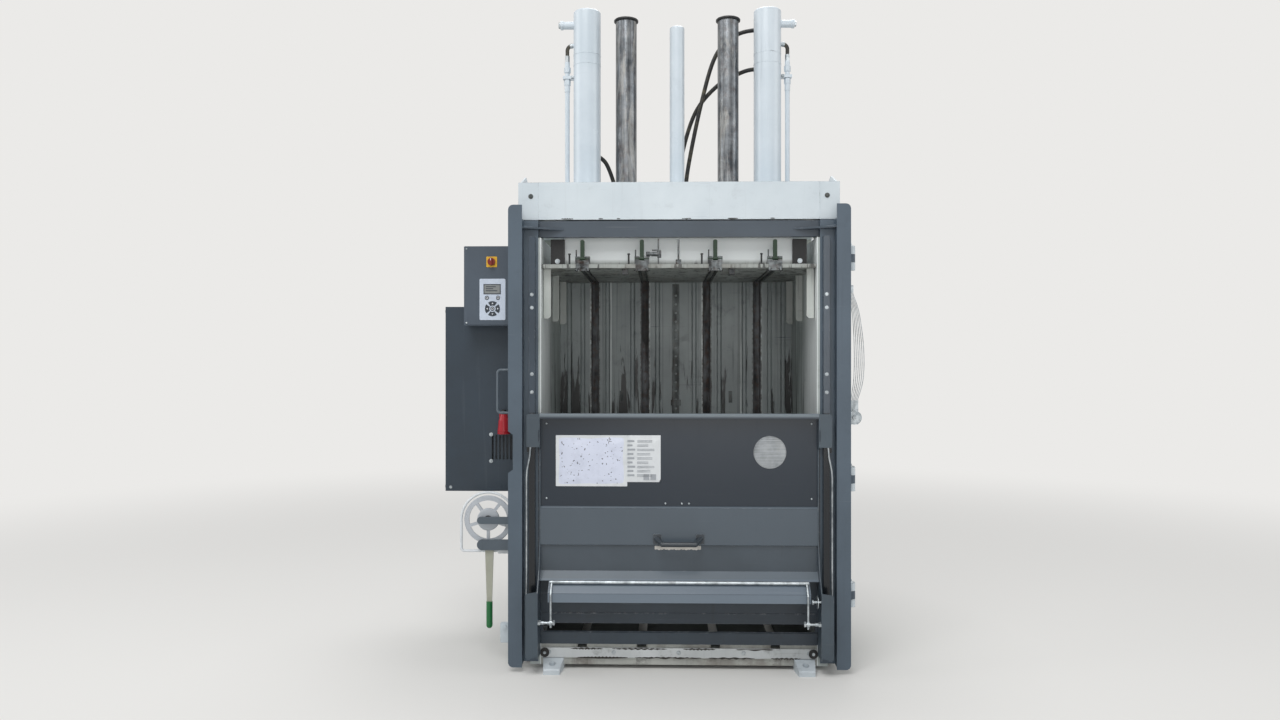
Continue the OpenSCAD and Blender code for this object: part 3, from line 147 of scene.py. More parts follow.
# %% Enamel recipe
def enamel(name, colour, deep, gloss, dirt="#2C2B28", dirty=0.3, runs=0.25, scratched=0.3, chipped=0.4,
        bare="#8E9296", up_sheen=0.0):
    """Sprayed enamel between two tones, with dirt, runs, scratches, chipped edges and a pale painted sky
    reflection on what faces up.
    """
    material, tree = new_material(name)
    place = add(tree, "TexCoord").outputs["Object"]
    clouds = add(tree, "TexNoise", {"Vector": place, "Scale": 2.6, "Detail": 6.0, "Roughness": 0.6})
    cloudy = add(tree, "MapRange", {"Value": clouds.outputs["Fac"], "From Min": 0.32, "From Max": 0.68})
    coat = add(tree, "Mix", {0: cloudy.outputs[0], 6: tint(colour), 7: tint(deep)}, data_type="RGBA")
    smudges = add(tree, "TexNoise", {"Vector": place, "Scale": 11.0, "Detail": 10.0, "Roughness": 0.72,
        "Distortion": 0.4})
    smudged = add(tree, "MapRange", {"Value": smudges.outputs["Fac"], "From Min": 0.56, "From Max": 0.82,
        "To Max": dirty})
    tall = add(tree, "Mapping", {"Vector": place, "Scale": (46.0, 46.0, 1.6)})
    drips = add(tree, "TexNoise", {"Vector": tall.outputs[0], "Scale": 1.0, "Detail": 5.0, "Roughness": 0.6})
    dripping = add(tree, "MapRange", {"Value": drips.outputs["Fac"], "From Min": 0.6, "From Max": 0.76,
        "To Max": runs})
    soiled = add(tree, "Math", {0: smudged.outputs[0], 1: dripping.outputs[0]}, operation="MAXIMUM")
    coat_so_far = add(tree, "Mix", {0: soiled.outputs[0], 6: coat.outputs[2], 7: tint(dirt)}, data_type="RGBA")
    # What faces up gets a pale blue-grey: painted sky reflection, not dust.
    if up_sheen:
        faces_up = add(tree, "SeparateXYZ", {0: add(tree, "NewGeometry").outputs["Normal"]}).outputs["Z"]
        up_sheen_share = add(tree, "MapRange", {"Value": faces_up, "From Min": 0.15, "From Max": 0.8,
            "To Max": up_sheen})
        coat_so_far = add(tree, "Mix", {0: up_sheen_share.outputs[0], 6: coat_so_far.outputs[2], 7: tint("#93A0AB")},
            data_type="RGBA")
    wide = add(tree, "Mapping", {"Vector": place, "Rotation": (0.1, 0.32, 0.2), "Scale": (2.4, 2.4, 210.0)})
    lines = add(tree, "TexNoise", {"Vector": wide.outputs[0], "Scale": 1.0, "Detail": 3.0, "Roughness": 0.55})
    scored = add(tree, "MapRange", {"Value": lines.outputs["Fac"], "From Min": 0.7, "From Max": 0.735,
        "To Max": scratched})
    marked = add(tree, "Mix", {0: scored.outputs[0], 6: coat_so_far.outputs[2], 7: tint(bare)}, data_type="RGBA")
    worn = edge_map(tree, place, 3.0, chipped)
    colour_out = add(tree, "Mix", {0: worn, 6: marked.outputs[2], 7: tint(bare)}, data_type="RGBA")
    rough = add(tree, "Math", {0: soiled.outputs[0], 1: 0.55, 2: gloss}, operation="MULTIPLY_ADD")
    peel = add(tree, "TexNoise", {"Vector": place, "Scale": 400.0, "Detail": 2.0})
    relief = add(tree, "Math", {0: worn, 1: -2.0, 2: peel.outputs["Fac"]}, operation="MULTIPLY_ADD")
    bump = add(tree, "Bump", {"Height": relief.outputs[0], "Strength": 0.25, "Distance": 0.0004})
    skin = add(tree, "BsdfPrincipled", {"Base Color": colour_out.outputs[2], "Roughness": rough.outputs[0],
        "Normal": bump.outputs[0], "IOR": 1.5})
    add(tree, "OutputMaterial", {"Surface": skin.outputs[0]})
    return material


# %% [markdown]
# ## The blue-grey door
# The door, the gate and the boxes wear one blue-grey enamel. It looks paler on the posts,
# which catch the sky. The door panel behind the gate gets a deeper copy of it, painted shade
# for the dark under the gate's lip. The gate's guide bars are glossy with grease, and
# nearly black from 0.30 m up to the gate's top. The scratches are pale and thin, because
# the primer under the paint is light. A small function changes the gate's tone between two
# heights: painted shade on the upper sheet under its overhang, and painted highlights and
# painted sky reflection on the shelf, the band, the slope and the lip.

# %% Tone by height
def zone(material, low, high, tone, amount):
    """Mixes another tone into a paint between two heights on the piece."""
    tree = material.node_tree
    skin = next(n for n in tree.nodes if n.type == "BSDF_PRINCIPLED")
    before = skin.inputs["Base Color"].links[0].from_socket
    place = next(n for n in tree.nodes if n.type == "TEX_COORD").outputs["Object"]
    height = add(tree, "SeparateXYZ", {0: place}).outputs["Z"]
    enters = add(tree, "MapRange", {"Value": height, "From Min": low, "From Max": low + 0.004})
    leaves = add(tree, "MapRange", {"Value": height, "From Min": high, "From Max": high + 0.004,
        "To Min": amount, "To Max": 0.0})
    share = add(tree, "Math", {0: enters.outputs[0], 1: leaves.outputs[0]}, operation="MULTIPLY")
    toned = add(tree, "Mix", {0: share.outputs[0], 6: before, 7: tint(tone)}, data_type="RGBA")
    tree.links.new(toned.outputs[2], skin.inputs["Base Color"])


# %% Door and gate paint
# Satin enamel: a broad soft highlight over a faint orange peel.
door_enamel = enamel("door_enamel", "#556370", "#4A5763", 0.38, dirty=0.22, runs=0.16, scratched=0.25,
    chipped=0.4)
dress(door_enamel, "door_post_left", "door_post_right")
# The same enamel, a deeper tone: painted shade under the beam.
shaded_rail_enamel = enamel("shaded_rail_enamel", "#444F5A", "#3C4650", 0.4, dirty=0.3, runs=0.2, scratched=0.3,
    chipped=0.5)
dress(shaded_rail_enamel, "door_top_rail")
# Glossier than the door, with a pale painted sky reflection on what faces up. The zones paint shade and
# highlights by height.
gate_enamel = enamel("gate_enamel", "#4A545D", "#414A52", 0.3, dirty=0.25, runs=0.22, scratched=0.3,
    chipped=0.5, up_sheen=0.3)
# Painted shade on the upper sheet, under the overhang of its shelf.
zone(gate_enamel, 0.708, 1.095, "#13202D", 0.9)
# Painted highlight on the top of the shelf.
zone(gate_enamel, 1.100, 1.2, "#8C979E", 0.5)
# Painted sky reflection on the front of the lip.
zone(gate_enamel, 0.300, 0.346, "#8593A1", 0.6)
# Painted sky reflection on the slope above the lip.
zone(gate_enamel, 0.346, 0.400, "#6C7A89", 0.45)
# Painted highlight on the band that stands proud.
zone(gate_enamel, 0.541, 0.700, "#5A656F", 0.5)
dress(gate_enamel, "gate_panel")
# A little deeper and glossier than the posts.
ear_enamel = enamel("ear_enamel", "#48555F", "#3F4A53", 0.34, dirty=0.3, runs=0.25, scratched=0.3,
    chipped=0.5)
dress(ear_enamel, "gate_sides")
# A deeper copy of the door's blue-grey, painted shade under the gate's lip; dirtier and more chipped than the
# posts.
shaded_panel_enamel = enamel("shaded_panel_enamel", "#35404A", "#2A333C", 0.4, dirty=0.4, runs=0.3, scratched=0.35,
    chipped=0.6)
dress(shaded_panel_enamel, "door_panel")
# So smooth that it looks wet. The zone turns it black from 0.30 to 1.115 m.
greased_enamel = enamel("greased_bar_enamel", "#434F5B", "#343F4A", 0.18, dirt="#1B1E22", dirty=0.3,
    runs=0.35, scratched=0.2, chipped=0.4)
zone(greased_enamel, 0.30, 1.115, "#0B0D10", 0.9)
dress(greased_enamel, "guide_rails")
# Dark and rather glossy, with many scratches and chips.
handle_enamel = enamel("handle_enamel", "#3F474E", "#30363C", 0.3, dirty=0.25, scratched=0.5, chipped=0.8)
dress(handle_enamel, "gate_handle")
# A slightly paler coat than the posts', scratched and chipped.
pull_enamel = enamel("pull_enamel", "#5C6771", "#4E5962", 0.32, dirty=0.3, scratched=0.4, chipped=0.7)
dress(pull_enamel, "door_pull", "wheel_bracket")

# %% [markdown]
# ## The white crosshead and cylinders
# The upper works are a cool white. Grease from the guide tubes has left grey smears on the
# beam, and its lower lip, which every bale wire has struck, is chipped down to dark steel.
# The cylinders are glossier, because nothing touches them.

# %% White paints
# Cool white, with edges chipped down to a dark grey.
beam_enamel = enamel("beam_enamel", "#DAE3E8", "#CBD5DB", 0.34, dirt="#6E7173", dirty=0.25, runs=0.12,
    scratched=0.35, chipped=0.95, bare="#454442")
dress(beam_enamel, "crosshead", "lifting_lugs", "hinge_brackets", "anchor_bracket")
# A glossier white with few chips, so its highlight is narrower.
cylinder_enamel = enamel("cylinder_enamel", "#D5DEE5", "#C5D0D8", 0.26, dirt="#7C8085", dirty=0.12, runs=0.22,
    scratched=0.1, chipped=0.25, bare="#6C6E70")
dress(cylinder_enamel, "cylinders", "sensor_tube", "pipes")
# The palest white, with brownish dirt.
guard_enamel = enamel("guard_enamel", "#E8ECEF", "#D9DEE2", 0.36, dirt="#4C4640", dirty=0.45, chipped=0.5)
dress(guard_enamel, "wire_guard")
# Silver-grey, with dark dirt and chipped edges.
wheel_enamel = enamel("wheel_enamel", "#C6CBD1", "#AEB4BB", 0.3, dirt="#3A3632", dirty=0.55, scratched=0.5,
    chipped=0.9)
dress(wheel_enamel, "lock_wheel")
# Cream, rather matt, dirty and chipped along its edges.
lever_enamel = enamel("lever_enamel", "#B9BAAB", "#A3A496", 0.42, dirt="#4A4336", dirty=0.5, scratched=0.6,
    chipped=1.0)
dress(lever_enamel, "lock_lever")
# Pale and matt, under more dirt than any other paint.
sill_enamel = enamel("sill_enamel", "#CDD1D2", "#A9ADAE", 0.5, dirt="#26231F", dirty=0.95, runs=0.2,
    scratched=0.7, chipped=1.0, bare="#4A4541")
dress(sill_enamel, "front_sill")
# White and rather matt, with chipped edges.
foot_enamel = enamel("foot_enamel", "#D2DADF", "#B9C2C8", 0.45, dirt="#57534D", dirty=0.5, scratched=0.5,
    chipped=1.0)
dress(foot_enamel, "feet")

# %% [markdown]
# ## The press chamber
# Inside, the same enamel is cream-grey and has been scoured by years of bales. Card and
# wire are dragged down the back wall, so its marks are tall black streaks, thickest low down
# and towards the sides. The streaks are one noise stretched ten times along Z. A second,
# finer one lays a veil of thin lines over everything. Each kind of wear is a function that
# takes the colour so far and returns the worn colour.

# %% Black streaks
def bale_streaks(tree, place, axes, side, before, streaks, least, low_z, high_z):
    """Tall strokes and fine lines; returns the colour and the noise of the strokes."""
    height = add(tree, "MapRange", {"Value": axes.outputs["Z"], "From Min": low_z, "From Max": high_z,
        "To Min": least, "To Max": 0.7})
    outward = add(tree, "MapRange", {"Value": side, "From Min": 0.1, "From Max": 0.6,
        "To Min": 0.03, "To Max": -0.02})
    needed = add(tree, "Math", {0: height.outputs[0], 1: outward.outputs[0]}, operation="ADD")
    tall = add(tree, "Mapping", {"Vector": place, "Scale": (24.0, 19.0, 1.9)})
    strokes = add(tree, "TexNoise", {"Vector": tall.outputs[0], "Scale": 1.0, "Detail": 7.0,
        "Roughness": 0.62, "Distortion": 0.5}).outputs["Fac"]
    over = add(tree, "Math", {0: strokes, 1: needed.outputs[0]}, operation="SUBTRACT")
    struck = add(tree, "MapRange", {"Value": over.outputs[0], "From Min": 0.0, "From Max": 0.035,
        "To Max": streaks})
    black = add(tree, "Mix", {0: struck.outputs[0], 6: before, 7: tint("#131313")}, data_type="RGBA")
    thin = add(tree, "Mapping", {"Vector": place, "Scale": (75.0, 30.0, 0.5)})
    hairs = add(tree, "TexNoise", {"Vector": thin.outputs[0], "Scale": 1.0, "Detail": 4.0, "Roughness": 0.6})
    lined = add(tree, "MapRange", {"Value": hairs.outputs["Fac"], "From Min": 0.54, "From Max": 0.68,
        "To Max": 0.5 * streaks})
    veiled = add(tree, "Mix", {0: lined.outputs[0], 6: black.outputs[2], 7: tint("#2C2D2C")},
        data_type="RGBA")
    return veiled.outputs[2], strokes


# %% [markdown]
# Pale upright lines run down the back wall along its folds: rubbed paint, and painted
# highlights where the folds catch the light. Rust creeps out of the strap slots' cut edges.
# Each needs a place as well as a pattern, so both are tied to the distance from the middle.

# %% Bright folds and rusty slots
SLOT_HALF = 0.02
RUST_REACH = 0.006
SLOT_PLACES = [0.16, 0.42]
FOLD_PLACES = [0.136, 0.226, 0.338, 0.444]
FOLD_HALF = 0.0036


def bright_folds(tree, side, strokes, before, folds):
    """Pale lines along the folds, rubbed paint and painted highlight, broken where a black stroke crosses."""
    folded = add(tree, "Math", {0: side, 1: FOLD_PLACES[0], 2: FOLD_HALF}, operation="COMPARE")
    for x in FOLD_PLACES[1:]:
        fold = add(tree, "Math", {0: side, 1: x, 2: FOLD_HALF}, operation="COMPARE")
        folded = add(tree, "Math", {0: folded.outputs[0], 1: fold.outputs[0]}, operation="ADD")
    gaps = add(tree, "MapRange", {"Value": strokes, "From Min": 0.44, "From Max": 0.6, "To Min": folds,
        "To Max": 0.0})
    rubbed_and_lit = add(tree, "Math", {0: folded.outputs[0], 1: gaps.outputs[0]}, operation="MULTIPLY")
    return add(tree, "Mix", {0: rubbed_and_lit.outputs[0], 6: before, 7: tint("#DDE3E1")},
        data_type="RGBA").outputs[2]


def slot_rust(tree, place, side, before, rust):
    """Dark rust within a few millimetres of each strap slot."""
    reach = SLOT_HALF + RUST_REACH
    far = [add(tree, "Math", {0: side, 1: x, 2: reach}, operation="COMPARE").outputs[0] for x in SLOT_PLACES]
    near_slot = add(tree, "Math", {0: far[0], 1: far[1]}, operation="ADD").outputs[0]
    blotches = add(tree, "TexNoise", {"Vector": place, "Scale": 26.0, "Detail": 9.0, "Roughness": 0.75})
    blotchy = add(tree, "MapRange", {"Value": blotches.outputs["Fac"], "From Min": 0.42, "From Max": 0.58,
        "To Max": rust})
    rusty = add(tree, "Math", {0: near_slot, 1: blotchy.outputs[0]}, operation="MULTIPLY").outputs[0]
    return add(tree, "Mix", {0: rusty, 6: before, 7: tint("#2E2823")}, data_type="RGBA").outputs[2]


# %% [markdown]
# The floor is scraped in patches and black with painted shade behind the gate. Above the
# platen's rest place, and beside the door, no bale has ever touched the paint, so it has
# stayed clean; there it is painted near-white, which is painted light from the open top and
# the front. The plates' outer faces keep the plain paint too, so the wear is only mixed in
# between the side walls and before the back wall.

# %% Floor wear, painted shade and lit clean places
GATE_Y = -0.37
INSIDE_X, INSIDE_Y = 0.6035, 0.3935


def floor_wear_and_shade(tree, place, axes, before, floor_wear, gate_shade):
    """Scraped patches, and painted shade that starts behind the gate."""
    patches = add(tree, "TexNoise", {"Vector": place, "Scale": 6.5, "Detail": 7.0, "Roughness": 0.66})
    scraped = add(tree, "MapRange", {"Value": patches.outputs["Fac"], "From Min": 0.5, "From Max": 0.6,
        "To Max": floor_wear})
    worn = add(tree, "Mix", {0: scraped.outputs[0], 6: before, 7: tint("#77726B")}, data_type="RGBA")
    behind_gate = add(tree, "MapRange", {"Value": axes.outputs["Y"], "From Min": GATE_Y,
        "From Max": GATE_Y + 0.03, "To Max": gate_shade})
    return add(tree, "Mix", {0: behind_gate.outputs[0], 6: worn.outputs[2], 7: tint("#0E1115")},
        data_type="RGBA").outputs[2]


def lit_clean_paint(tree, axes, before, lit_clean_z, lit_clean_y):
    """Clean paint, painted near-white as painted light, above a given height and in front of a given depth."""
    above = add(tree, "MapRange", {"Value": axes.outputs["Z"], "From Min": lit_clean_z,
        "From Max": lit_clean_z + 0.02, "To Max": 1.0})
    in_front = add(tree, "MapRange", {"Value": axes.outputs["Y"], "From Min": lit_clean_y + 0.1,
        "From Max": lit_clean_y - 0.1, "To Max": 0.8})
    either = add(tree, "Math", {0: above.outputs[0], 1: in_front.outputs[0]}, operation="MAXIMUM")
    return add(tree, "Mix", {0: either.outputs[0], 6: before, 7: tint("#F2F7F7")},
        data_type="RGBA").outputs[2]


# %% Scoured chamber paint
def scoured(name, colour, deep, streaks, rust, floor_wear=0.0, least=0.51, low_z=1.12, high_z=1.6,
        lit_clean_z=9.0, lit_clean_y=-9.0, runs=0.5, scratched=0.6, folds=0.9, gate_shade=0.0):
    """Chamber enamel with all the wear of the bales on its inner faces, painted shade behind the gate and
    painted light in the clean places.
    """
    material = enamel(name, colour, deep, 0.4, dirt="#2E2D2A", dirty=0.6, runs=runs, scratched=scratched,
        chipped=1.0, bare="#2A2826")
    tree = material.node_tree
    skin = next(n for n in tree.nodes if n.type == "BSDF_PRINCIPLED")
    before = skin.inputs["Base Color"].links[0].from_socket
    place = next(n for n in tree.nodes if n.type == "TEX_COORD").outputs["Object"]
    axes = add(tree, "SeparateXYZ", {0: place})
    side = add(tree, "Math", {0: axes.outputs["X"]}, operation="ABSOLUTE").outputs[0]
    worn, strokes = bale_streaks(tree, place, axes, side, before, streaks, least, low_z, high_z)
    worn = bright_folds(tree, side, strokes, worn, folds)
    worn = slot_rust(tree, place, side, worn, rust)
    worn = floor_wear_and_shade(tree, place, axes, worn, floor_wear, gate_shade)
    worn = lit_clean_paint(tree, axes, worn, lit_clean_z, lit_clean_y)
    between_sides = add(tree, "Math", {0: side, 1: INSIDE_X}, operation="LESS_THAN")
    before_back = add(tree, "Math", {0: axes.outputs["Y"], 1: INSIDE_Y}, operation="LESS_THAN")
    inside = add(tree, "Math", {0: between_sides.outputs[0], 1: before_back.outputs[0]}, operation="MULTIPLY")
    both_faces = add(tree, "Mix", {0: inside.outputs[0], 6: before, 7: worn}, data_type="RGBA")
    tree.links.new(both_faces.outputs[2], skin.inputs["Base Color"])
    return material


# %% Chamber paints
# The back wall has the most streaks. The side walls have a little less, and their paler copy of the paint is
# painted light; toward the front it turns near-white, painted light as well.
wall_enamel = scoured("wall_enamel", "#A3ABAB", "#858D8E", 0.95, 0.8, lit_clean_z=1.79)
dress(wall_enamel, "back_wall")
lit_side_enamel = scoured("lit_side_enamel", "#C3CBC9", "#A6AEAC", 0.9, 0.2, least=0.56, low_z=1.1, high_z=1.7,
    lit_clean_z=1.79, lit_clean_y=-0.05)
dress(lit_side_enamel, "side_wall_left", "side_wall_right")
# Plain cream paint without the marks of the bales.
column_enamel = enamel("column_enamel", "#B4BAB3", "#A3A9A2", 0.42, dirt="#3A3833", dirty=0.35, runs=0.25,
    chipped=0.6)
dress(column_enamel, "columns")
# Few streaks, but scraped patches, and painted shade behind the gate.
floor_enamel = scoured("floor_enamel", "#B9BBB6", "#9A9C97", 0.1, 0.5, floor_wear=0.6, runs=0.1,
    scratched=0.15, folds=0.0, gate_shade=0.85)
dress(floor_enamel, "base_frame")
# Streaked low down on the platen, and clean above 1.775 m, painted near-white there as painted light.
ram_enamel = scoured("ram_enamel", "#A9AEAA", "#888D89", 0.8, 0.5, floor_wear=0.45, low_z=1.74, high_z=1.84,
    lit_clean_z=1.775, folds=0.0)
dress(ram_enamel, "platen")
# Pale paint, dirty, scratched and chipped.
skid_enamel = enamel("skid_enamel", "#C4C8C4", "#A9AEAA", 0.4, dirt="#3E3D39",
    dirty=0.5, runs=0.5, scratched=0.5, chipped=0.7)
dress(skid_enamel, "guide_skids")

# %% [markdown]
# ## Cabinet and control box
# The two boxes are powder-coated, not sprayed. Powder melts into a skin with a regular
# grain of about a millimetre, and it is tougher, so there are hardly any chips. Its grain
# is a fine noise in the bump, and the colour stays even.

# %% Powder coat
def powder_coat(name, colour, deep, grain_mm=1.1):
    """Baked powder: even colour, fine regular grain, dust in soft clouds."""
    material, tree = new_material(name)
    place = add(tree, "TexCoord").outputs["Object"]
    clouds = add(tree, "TexNoise", {"Vector": place, "Scale": 3.4, "Detail": 6.0, "Roughness": 0.62})
    cloudy = add(tree, "MapRange", {"Value": clouds.outputs["Fac"], "From Min": 0.36, "From Max": 0.66})
    coat = add(tree, "Mix", {0: cloudy.outputs[0], 6: tint(colour), 7: tint(deep)}, data_type="RGBA")
    tall = add(tree, "Mapping", {"Vector": place, "Scale": (30.0, 30.0, 1.4)})
    rain = add(tree, "TexNoise", {"Vector": tall.outputs[0], "Scale": 1.0, "Detail": 4.0})
    rained = add(tree, "MapRange", {"Value": rain.outputs["Fac"], "From Min": 0.6, "From Max": 0.8,
        "To Max": 0.1})
    coat_so_far = add(tree, "Mix", {0: rained.outputs[0], 6: coat.outputs[2], 7: tint("#8B9196")}, data_type="RGBA")
    worn = edge_map(tree, place, 2.0, 0.1)
    edged = add(tree, "Mix", {0: worn, 6: coat_so_far.outputs[2], 7: tint("#7F868D")}, data_type="RGBA")
    grain = add(tree, "TexNoise", {"Vector": place, "Scale": 1000 / grain_mm, "Detail": 1.0})
    bump = add(tree, "Bump", {"Height": grain.outputs["Fac"], "Strength": 0.22, "Distance": 0.0003})
    skin = add(tree, "BsdfPrincipled", {"Base Color": edged.outputs[2], "Roughness": 0.5,
        "Normal": bump.outputs[0], "IOR": 1.5})
    add(tree, "OutputMaterial", {"Surface": skin.outputs[0]})
    return material


# An even blue-grey.
box_powder = powder_coat("box_powder", "#4A5561", "#434D58")
dress(box_powder, "control_box")
# The same powder, much deeper.
cabinet_powder = powder_coat("cabinet_powder", "#2C3945", "#27323C")
dress(cabinet_powder, "cabinet", "cabinet_cover")
# A plain grey powder.
tank_powder = powder_coat("tank_powder", "#5C6166", "#52575B")
dress(tank_powder, "oil_tank", "pump_motor")

# %% [markdown]
# ## Bare and plated steel
# Metal gets its colour from the reflection itself, so Metallic is 1 and the IOR stays as
# it is. What tells one steel from another is how it was worked: drawn tube has fine lines
# along its length, zinc plating is soft and cloudy, and the guide tubes are wiped with
# grease that has dried in pale smears. The lines are a noise squeezed along the tool's way.
# Real lines are finer than a pixel here, so these are drawn coarse enough to show.

# %% Steel recipe
def worked_steel(name, colour, deep, roughness, lines, smear="#8A8880", smeared=0.0, rusted=0.0):
    """Metal with tool lines stretched by 'lines', smears of old grease, and spots of rust."""
    material, tree = new_material(name)
    place = add(tree, "TexCoord").outputs["Object"]
    stretch = add(tree, "Mapping", {"Vector": place, "Scale": lines})
    tool = add(tree, "TexNoise", {"Vector": stretch.outputs[0], "Scale": 1.0, "Detail": 5.0,
        "Roughness": 0.6})
    clouds = add(tree, "TexNoise", {"Vector": place, "Scale": 14.0, "Detail": 7.0, "Roughness": 0.66})
    both = add(tree, "Math", {0: tool.outputs["Fac"], 1: clouds.outputs["Fac"]}, operation="MULTIPLY")
    toned = add(tree, "MapRange", {"Value": both.outputs[0], "From Min": 0.15, "From Max": 0.36})
    metal = add(tree, "Mix", {0: toned.outputs[0], 6: tint(colour), 7: tint(deep)}, data_type="RGBA")
    wipe = add(tree, "Mapping", {"Vector": place, "Scale": (16.0, 16.0, 3.0)})
    wiped = add(tree, "TexNoise", {"Vector": wipe.outputs[0], "Scale": 1.0, "Detail": 8.0, "Roughness": 0.7,
        "Distortion": 0.8})
    greasy = add(tree, "MapRange", {"Value": wiped.outputs["Fac"], "From Min": 0.5, "From Max": 0.7,
        "To Max": smeared})
    dulled = add(tree, "Mix", {0: greasy.outputs[0], 6: metal.outputs[2], 7: tint(smear)}, data_type="RGBA")
    spots = add(tree, "TexNoise", {"Vector": place, "Scale": 34.0, "Detail": 9.0, "Roughness": 0.75})
    spotted = add(tree, "MapRange", {"Value": spots.outputs["Fac"], "From Min": 0.5, "From Max": 0.64,
        "To Max": rusted})
    coloured = add(tree, "Mix", {0: spotted.outputs[0], 6: dulled.outputs[2], 7: tint("#5B3A26")},
        data_type="RGBA")
    cover = add(tree, "Math", {0: greasy.outputs[0], 1: spotted.outputs[0]}, operation="MAXIMUM")
    shine = add(tree, "Math", {0: 1.0, 1: cover.outputs[0]}, operation="SUBTRACT", use_clamp=True)
    rough = add(tree, "Math", {0: cover.outputs[0], 1: 0.45, 2: roughness}, operation="MULTIPLY_ADD")
    bump = add(tree, "Bump", {"Height": both.outputs[0], "Strength": 0.3, "Distance": 0.0004})
    skin = add(tree, "BsdfPrincipled", {"Base Color": coloured.outputs[2], "Metallic": shine.outputs[0],
        "Roughness": rough.outputs[0], "Normal": bump.outputs[0]})
    add(tree, "OutputMaterial", {"Surface": skin.outputs[0]})
    return material


# Lines run up the tube, under broad pale smears.
guide_steel = worked_steel("drawn_guide_steel", "#84888C", "#45494D", 0.34, (90.0, 90.0, 2.0),
    smear="#BDBBB5", smeared=0.8, rusted=0.2)
dress(guide_steel, "guide_tubes")
# Bright and cloudy, with lines in no direction.
zinc_steel = worked_steel("zinc_plated_steel", "#C6CDD1", "#8F979C", 0.36, (40.0, 40.0, 40.0),
    smear="#6B6C69", smeared=0.35, rusted=0.12)
dress(zinc_steel, "frame_bolts", "gate_rods", "bow_bolts", "bow_bar", "strand_holder")
# Blotches from mid grey to nearly black, and dark oil smears.
bracket_steel = worked_steel("oily_bracket_steel", "#767B7D", "#232425", 0.4, (50.0, 50.0, 50.0),
    smear="#232220", smeared=0.8, rusted=0.25)
dress(bracket_steel, "strap_brackets")
# Dull grey, with lines that run upright.
strip_steel = worked_steel("dull_strip_steel", "#666B6B", "#3B3E3E", 0.5, (60.0, 60.0, 4.0), smear="#4B4E4D",
    smeared=0.5, rusted=0.2)
dress(strip_steel, "wall_fittings")
# Dark grey, with smears and more rust than any other steel.
slot_steel = worked_steel("rusty_channel_steel", "#56585A", "#2E2F30", 0.5, (50.0, 50.0, 3.0),
    smear="#3A3734", smeared=0.7, rusted=0.35)
dress(slot_steel, "strap_guides")
# The sharpest reflections of all, with fine rings across the rod.
rod_chrome = worked_steel("hard_chrome", "#D2D6D8", "#B4B9BC", 0.12, (5.0, 5.0, 300.0))
dress(rod_chrome, "piston_rods")
# Brown metal with rings across it, under dark oil.
bush_bronze = worked_steel("oiled_bronze", "#7C6F52", "#453D30", 0.36, (10.0, 10.0, 240.0), smear="#24221E",
    smeared=0.85)
dress(bush_bronze, "guide_bushes")

# %% [markdown]
# ## Plastics and rubber
# A moulded plastic has one colour right through, so it has no chips: age shows as a dull
# bloom and greasy fingermarks. Rubber is the same recipe with almost no shine. Hoses are
# wrapped in tape while they cure, which leaves a fine spiral mark. It is drawn much coarser,
# as a slanting wave that repeats about every 100 mm of height.

# %% Moulded plastic
def moulded(name, colour, roughness, grain_mm=1.5, bloom="#8E8E8A", bloomed=0.15, wave_scale=0.0):
    """Plastic or rubber, coloured through, with a moulded grain and a dull bloom."""
    material, tree = new_material(name)
    place = add(tree, "TexCoord").outputs["Object"]
    hands = add(tree, "TexNoise", {"Vector": place, "Scale": 22.0, "Detail": 7.0, "Roughness": 0.7})
    handled = add(tree, "MapRange", {"Value": hands.outputs["Fac"], "From Min": 0.5, "From Max": 0.78,
        "To Max": bloomed})
    colour_out = add(tree, "Mix", {0: handled.outputs[0], 6: tint(colour), 7: tint(bloom)}, data_type="RGBA")
    rough = add(tree, "Math", {0: handled.outputs[0], 1: 0.6, 2: roughness}, operation="MULTIPLY_ADD")
    relief = add(tree, "TexNoise", {"Vector": place, "Scale": 1000 / grain_mm, "Detail": 2.0}).outputs["Fac"]
    if wave_scale:
        wave = add(tree, "TexWave", {"Vector": place, "Scale": wave_scale, "Distortion": 0.4},
            wave_type="BANDS", bands_direction="DIAGONAL")
        relief = add(tree, "Math", {0: relief, 1: 0.3, 2: wave.outputs["Fac"]},
            operation="MULTIPLY_ADD").outputs[0]
    bump = add(tree, "Bump", {"Height": relief, "Strength": 0.2,
        "Distance": 0.0006 if wave_scale else 0.0002})
    skin = add(tree, "BsdfPrincipled", {"Base Color": colour_out.outputs[2], "Roughness": rough.outputs[0],
        "Normal": bump.outputs[0], "IOR": 1.49})
    add(tree, "OutputMaterial", {"Surface": skin.outputs[0]})
    return material


# Nearly black, with a soft dull shine.
black_plastic = moulded("black_polyethylene", "#08090C", 0.5, bloomed=0.06)
dress(black_plastic, "slide_pads", "guide_caps")
# A very deep green with a soft shine, painted shade on the levers.
shaded_green_plastic = moulded("green_polypropylene", "#06260F", 0.46, bloom="#2C4635", bloomed=0.12)
dress(shaded_green_plastic, "strap_lever_1", "strap_lever_2", "strap_lever_3", "strap_lever_4")
# A brighter green than the levers, and shinier.
grip_vinyl = moulded("green_dipped_vinyl", "#1B6B38", 0.3, bloom="#4E7F5F", bloomed=0.25)
dress(grip_vinyl, "lever_grip")
# Strong red with duller patches.
red_plastic = moulded("red_polyamide", "#A81B29", 0.32, bloom="#7D3A38", bloomed=0.25)
dress(red_plastic, "mains_inlet")
# A browner red than the inlet's.
knob_plastic = moulded("aged_red_polyamide", "#7E2016", 0.34, bloom="#8F4A3C", bloomed=0.25)
dress(knob_plastic, "switch_knob")
# Warm yellow with a shiny face and duller patches.
yellow_plastic = moulded("yellow_abs", "#E3B12E", 0.3, bloom="#9C8753", bloomed=0.25)
dress(yellow_plastic, "switch_plate")
